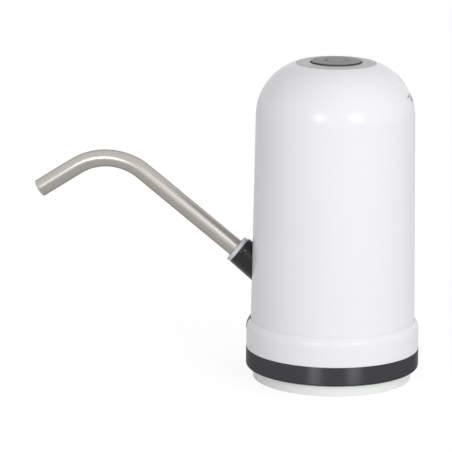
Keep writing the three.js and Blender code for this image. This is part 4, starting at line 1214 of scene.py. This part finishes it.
def makeNose():
    low, high = socket["rootLow"], socket["mouth"] - socket["lipRound"]
    slope = (socket["bellyRadius"] - socket["rootRadius"]) / (high - low)
    heights = [low + (high - low) * i / socket["rows"] for i in range(socket["rows"])]
    side = [(socket["rootRadius"] + slope * (height - low), height) for height in heights]
    lipCentre = socket["bellyRadius"] - socket["lipRound"]
    lip = arcPoints(lipCentre, high, socket["lipRound"], 0, 90, socket["lipSteps"])
    profile = [(0, low), *side, *lip, (0, socket["mouth"])]
    bm = spinShape(profileShape(profile, closed=False), socket["turns"])
    for vert in bm.verts:
        radius, turn = math.hypot(vert.co.x, vert.co.y), math.atan2(vert.co.y, vert.co.x)
        if radius > mergeDistance:
            reach = noseRadius(vert.co.z / mm, radius / mm, turn) * mm
            vert.co.x, vert.co.y = reach * math.cos(turn), reach * math.sin(turn)
    return bm


# The plate that the nose stands on, curved to lie inside the body's wall
def makeSaddle():
    low, high = socket["saddleLow"], socket["saddleHigh"]
    inner, outer = socket["saddleInner"], socket["saddleOuter"]
    ring = profileShape([(inner, low), (outer, low), (outer, high), (inner, high)])
    saddle = shapeToObject(spinShape(ring, socket["saddleTurns"]), "saddle")
    width = 2 * socket["saddleHalfWidth"]
    window = roundedBlock(high - low, width, 0, base["skirtRadius"], socket["saddleCorner"])
    middle = (low + high) / 2
    moved(window, Matrix.Translation((0, 0, middle * mm)) @ Matrix.Rotation(-math.pi / 2, 4, "Y"))
    return combine(saddle, shapeToObject(window, "saddleWindow"), "INTERSECT")


def makeSocket():
    lifted = stemPlace @ Matrix.Translation((socket["rise"] * mm, 0, 0))
    made = shapeToObject(moved(makeNose(), lifted), "spoutSocket")
    combine(made, makeSaddle(), "UNION")
    neckLow, neckHigh = socket["neckLow"], socket["rootLow"] + socket["neckSink"]
    drill(made, stemPlace, socket["neckRadius"], neckLow, neckHigh, operation="UNION")
    elbow = stemPlace @ Vector((0, 0, neckLow * mm))
    elbowPlace, stubFoot = Matrix.Translation(elbow), -socket["stubLength"]
    steps = socket["ballSteps"]
    ball = bmesh.new()
    bmesh.ops.create_uvsphere(
        ball, u_segments=steps, v_segments=steps // 2, radius=socket["neckRadius"] * mm
    )
    combine(made, shapeToObject(moved(ball, elbowPlace), "elbowBall"), "UNION")
    drill(made, elbowPlace, socket["stubRadius"], stubFoot, 0, socket["stubSteps"], "UNION")
    boreTop = socket["mouth"] + socket["over"]
    drill(made, stemPlace, socket["boreRadius"], socket["boreFoot"], boreTop, socket["boreSteps"])
    drill(made, stemPlace, socket["passage"], neckLow, socket["mouth"], socket["stubSteps"])
    drill(made, elbowPlace, socket["stubBore"], stubFoot - socket["over"], 0, socket["stubBoreSteps"])
    dress(made, finishes["socket_black"], "root", "socket_black", "spout_socket")


makeSocket()

sleeve = {
    "inner": 4.2,
    "outer": 4.95,
    "foot": -6.2,
    "flangeFoot": 8,
    "flangeRadius": 6.35,
    "face": 9.8,
    "faceRound": 0.45,
    "boreRound": 0.2,
    "turns": 96,
}


def makeSleeve():
    profile = [
        (sleeve["inner"], sleeve["foot"]),
        (sleeve["outer"], sleeve["foot"]),
        (sleeve["outer"], sleeve["flangeFoot"]),
        (sleeve["flangeRadius"], sleeve["flangeFoot"], sleeve["boreRound"]),
        (sleeve["flangeRadius"], sleeve["face"], sleeve["faceRound"]),
        (sleeve["inner"], sleeve["face"], sleeve["boreRound"]),
    ]
    shape = moved(spinShape(profileShape(profile), sleeve["turns"]), stemPlace)
    piece = shapeToObject(shape, "spoutSleeve")
    dress(piece, finishes["silicone_grey"], "spout_ring", "silicone_grey", "spout_sleeve")


makeSleeve()

spout = {
    "radius": 4,
    "wall": 0.5,
    "start": -6.5,
    "bendStart": 64.3,
    "bendRadius": 26,
    "bendAngle": 71.6,
    "bendFlat": 0.35,  # a bent tube is flattened on the outer side of the bend
    "bendRun": 8,
    "tipLength": 20.2,
    "rimRound": 0.16,
    "rimSteps": 3,
    "turns": 64,
    "cuts": 110,
}


# The tube is made straight, and bent once its unbent shape is kept for the finish
def makeSpout():
    bendLength = spout["bendRadius"] * math.radians(spout["bendAngle"])
    length = spout["bendStart"] - spout["start"] + bendLength + spout["tipLength"]
    inner = spout["radius"] - spout["wall"]
    top = spout["start"] + length
    profile = [
        (inner, spout["start"], spout["rimRound"]),
        (spout["radius"], spout["start"], spout["rimRound"]),
        (spout["radius"], top, spout["rimRound"]),
        (inner, top, spout["rimRound"]),
    ]
    bm = profileShape(profile, roundSteps=spout["rimSteps"])
    long = [e for e in bm.edges if e.calc_length() > length / 2 * mm]
    bmesh.ops.subdivide_edges(bm, edges=long, cuts=spout["cuts"])
    spinShape(bm, spout["turns"])
    unbent = bm.verts.layers.float_vector.new("unbent")
    centre = Vector((-spout["bendRadius"], 0, spout["bendStart"])) * mm
    for vert in bm.verts:
        vert[unbent] = vert.co
        past = vert.co.z / mm - spout["bendStart"]
        share = (past + spout["bendRun"]) / (bendLength + 2 * spout["bendRun"])
        if vert.co.x > 0 and 0 < share < 1:
            vert.co.x *= 1 - spout["bendFlat"] / spout["radius"] * math.sin(math.pi * share) ** 2
        if past <= 0:
            continue
        turned = min(past, bendLength)
        swing = Matrix.Rotation(-turned / spout["bendRadius"], 4, "Y")
        flat = Vector((vert.co.x, 0, spout["bendStart"] * mm)) - centre
        side = Vector((0, vert.co.y, 0))
        onward = swing @ Vector((0, 0, (past - turned) * mm))
        vert.co = centre + swing @ flat + side + onward
    moved(bm, stemPlace)
    bmesh.ops.recalc_face_normals(bm, faces=bm.faces[:])
    dress(shapeToObject(bm, "spoutTube"), finishes["satin_steel"], "spout", "satin_steel", "spout_tube")


makeSpout()
print("socket, sleeve and spout made")

port = {
    "width": 7.4,
    "height": 2.5,
    "corner": 0.8,
    "wall": 0.3,
    "mouth": 23.9,
    "depth": 4.3,
    "over": 1,
    "tongueThick": 0.7,
    "tongueWidth": 3.35,
    "tongueShort": 0.7,
    "tongueCorner": 0.15,
    "tongueSteps": 3,
    "contacts": 5,
    "contactPitch": 0.65,
    "contactWidth": 0.35,
    "contactProud": 0.05,
    "contactShort": 0.91,
    "contactCorner": 0.02,
    "contactSteps": 2,
}


def makePort():
    place, wall = rearPlace(body["portTilt"]), port["wall"]
    mouth, back = port["mouth"], port["mouth"] - port["depth"]
    shape = roundedBlock(port["height"], port["width"], back, mouth, port["corner"])
    can = shapeToObject(moved(shape, place), "usbSocket")
    high, wide = port["height"] - 2 * wall, port["width"] - 2 * wall
    hollow = roundedBlock(high, wide, back + wall, mouth + port["over"], port["corner"] - wall)
    combine(can, shapeToObject(moved(hollow, place), "portHollow"))
    dress(can, finishes["zinc_steel"], "root", "zinc_steel", "usb_socket")
    tongue = roundedBlock(
        port["tongueThick"],
        port["tongueWidth"],
        back + wall / 2,
        mouth - port["tongueShort"],
        port["tongueCorner"],
        port["tongueSteps"],
    )
    dress(shapeToObject(moved(tongue, place), "portTongue"), finishes["pump_black"], "root", "pump_black")
    for i in range(port["contacts"]):
        across = (i - (port["contacts"] - 1) / 2) * port["contactPitch"]
        strip = roundedBlock(
            port["contactProud"] * 2,
            port["contactWidth"],
            back + wall,
            mouth - port["contactShort"],
            port["contactCorner"],
            port["contactSteps"],
        )
        aside = Matrix.Translation((port["tongueThick"] / 2 * mm, across * mm, 0))
        contact = shapeToObject(moved(strip, place @ aside), f"portContact{i + 1}")
        dress(contact, finishes["copper"], "root", "copper")


makePort()
print("charging port made")

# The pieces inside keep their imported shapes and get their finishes
slotOf = {part["node"]: part["material_slot"] for part in frame["record"]["subparts"]}
for name, node in frame["nodes"].items():
    if node.hide_render:
        continue
    node.data.materials.clear()
    node.data.materials.append(finishes[slotOf[name]])
print("inner pieces finished")
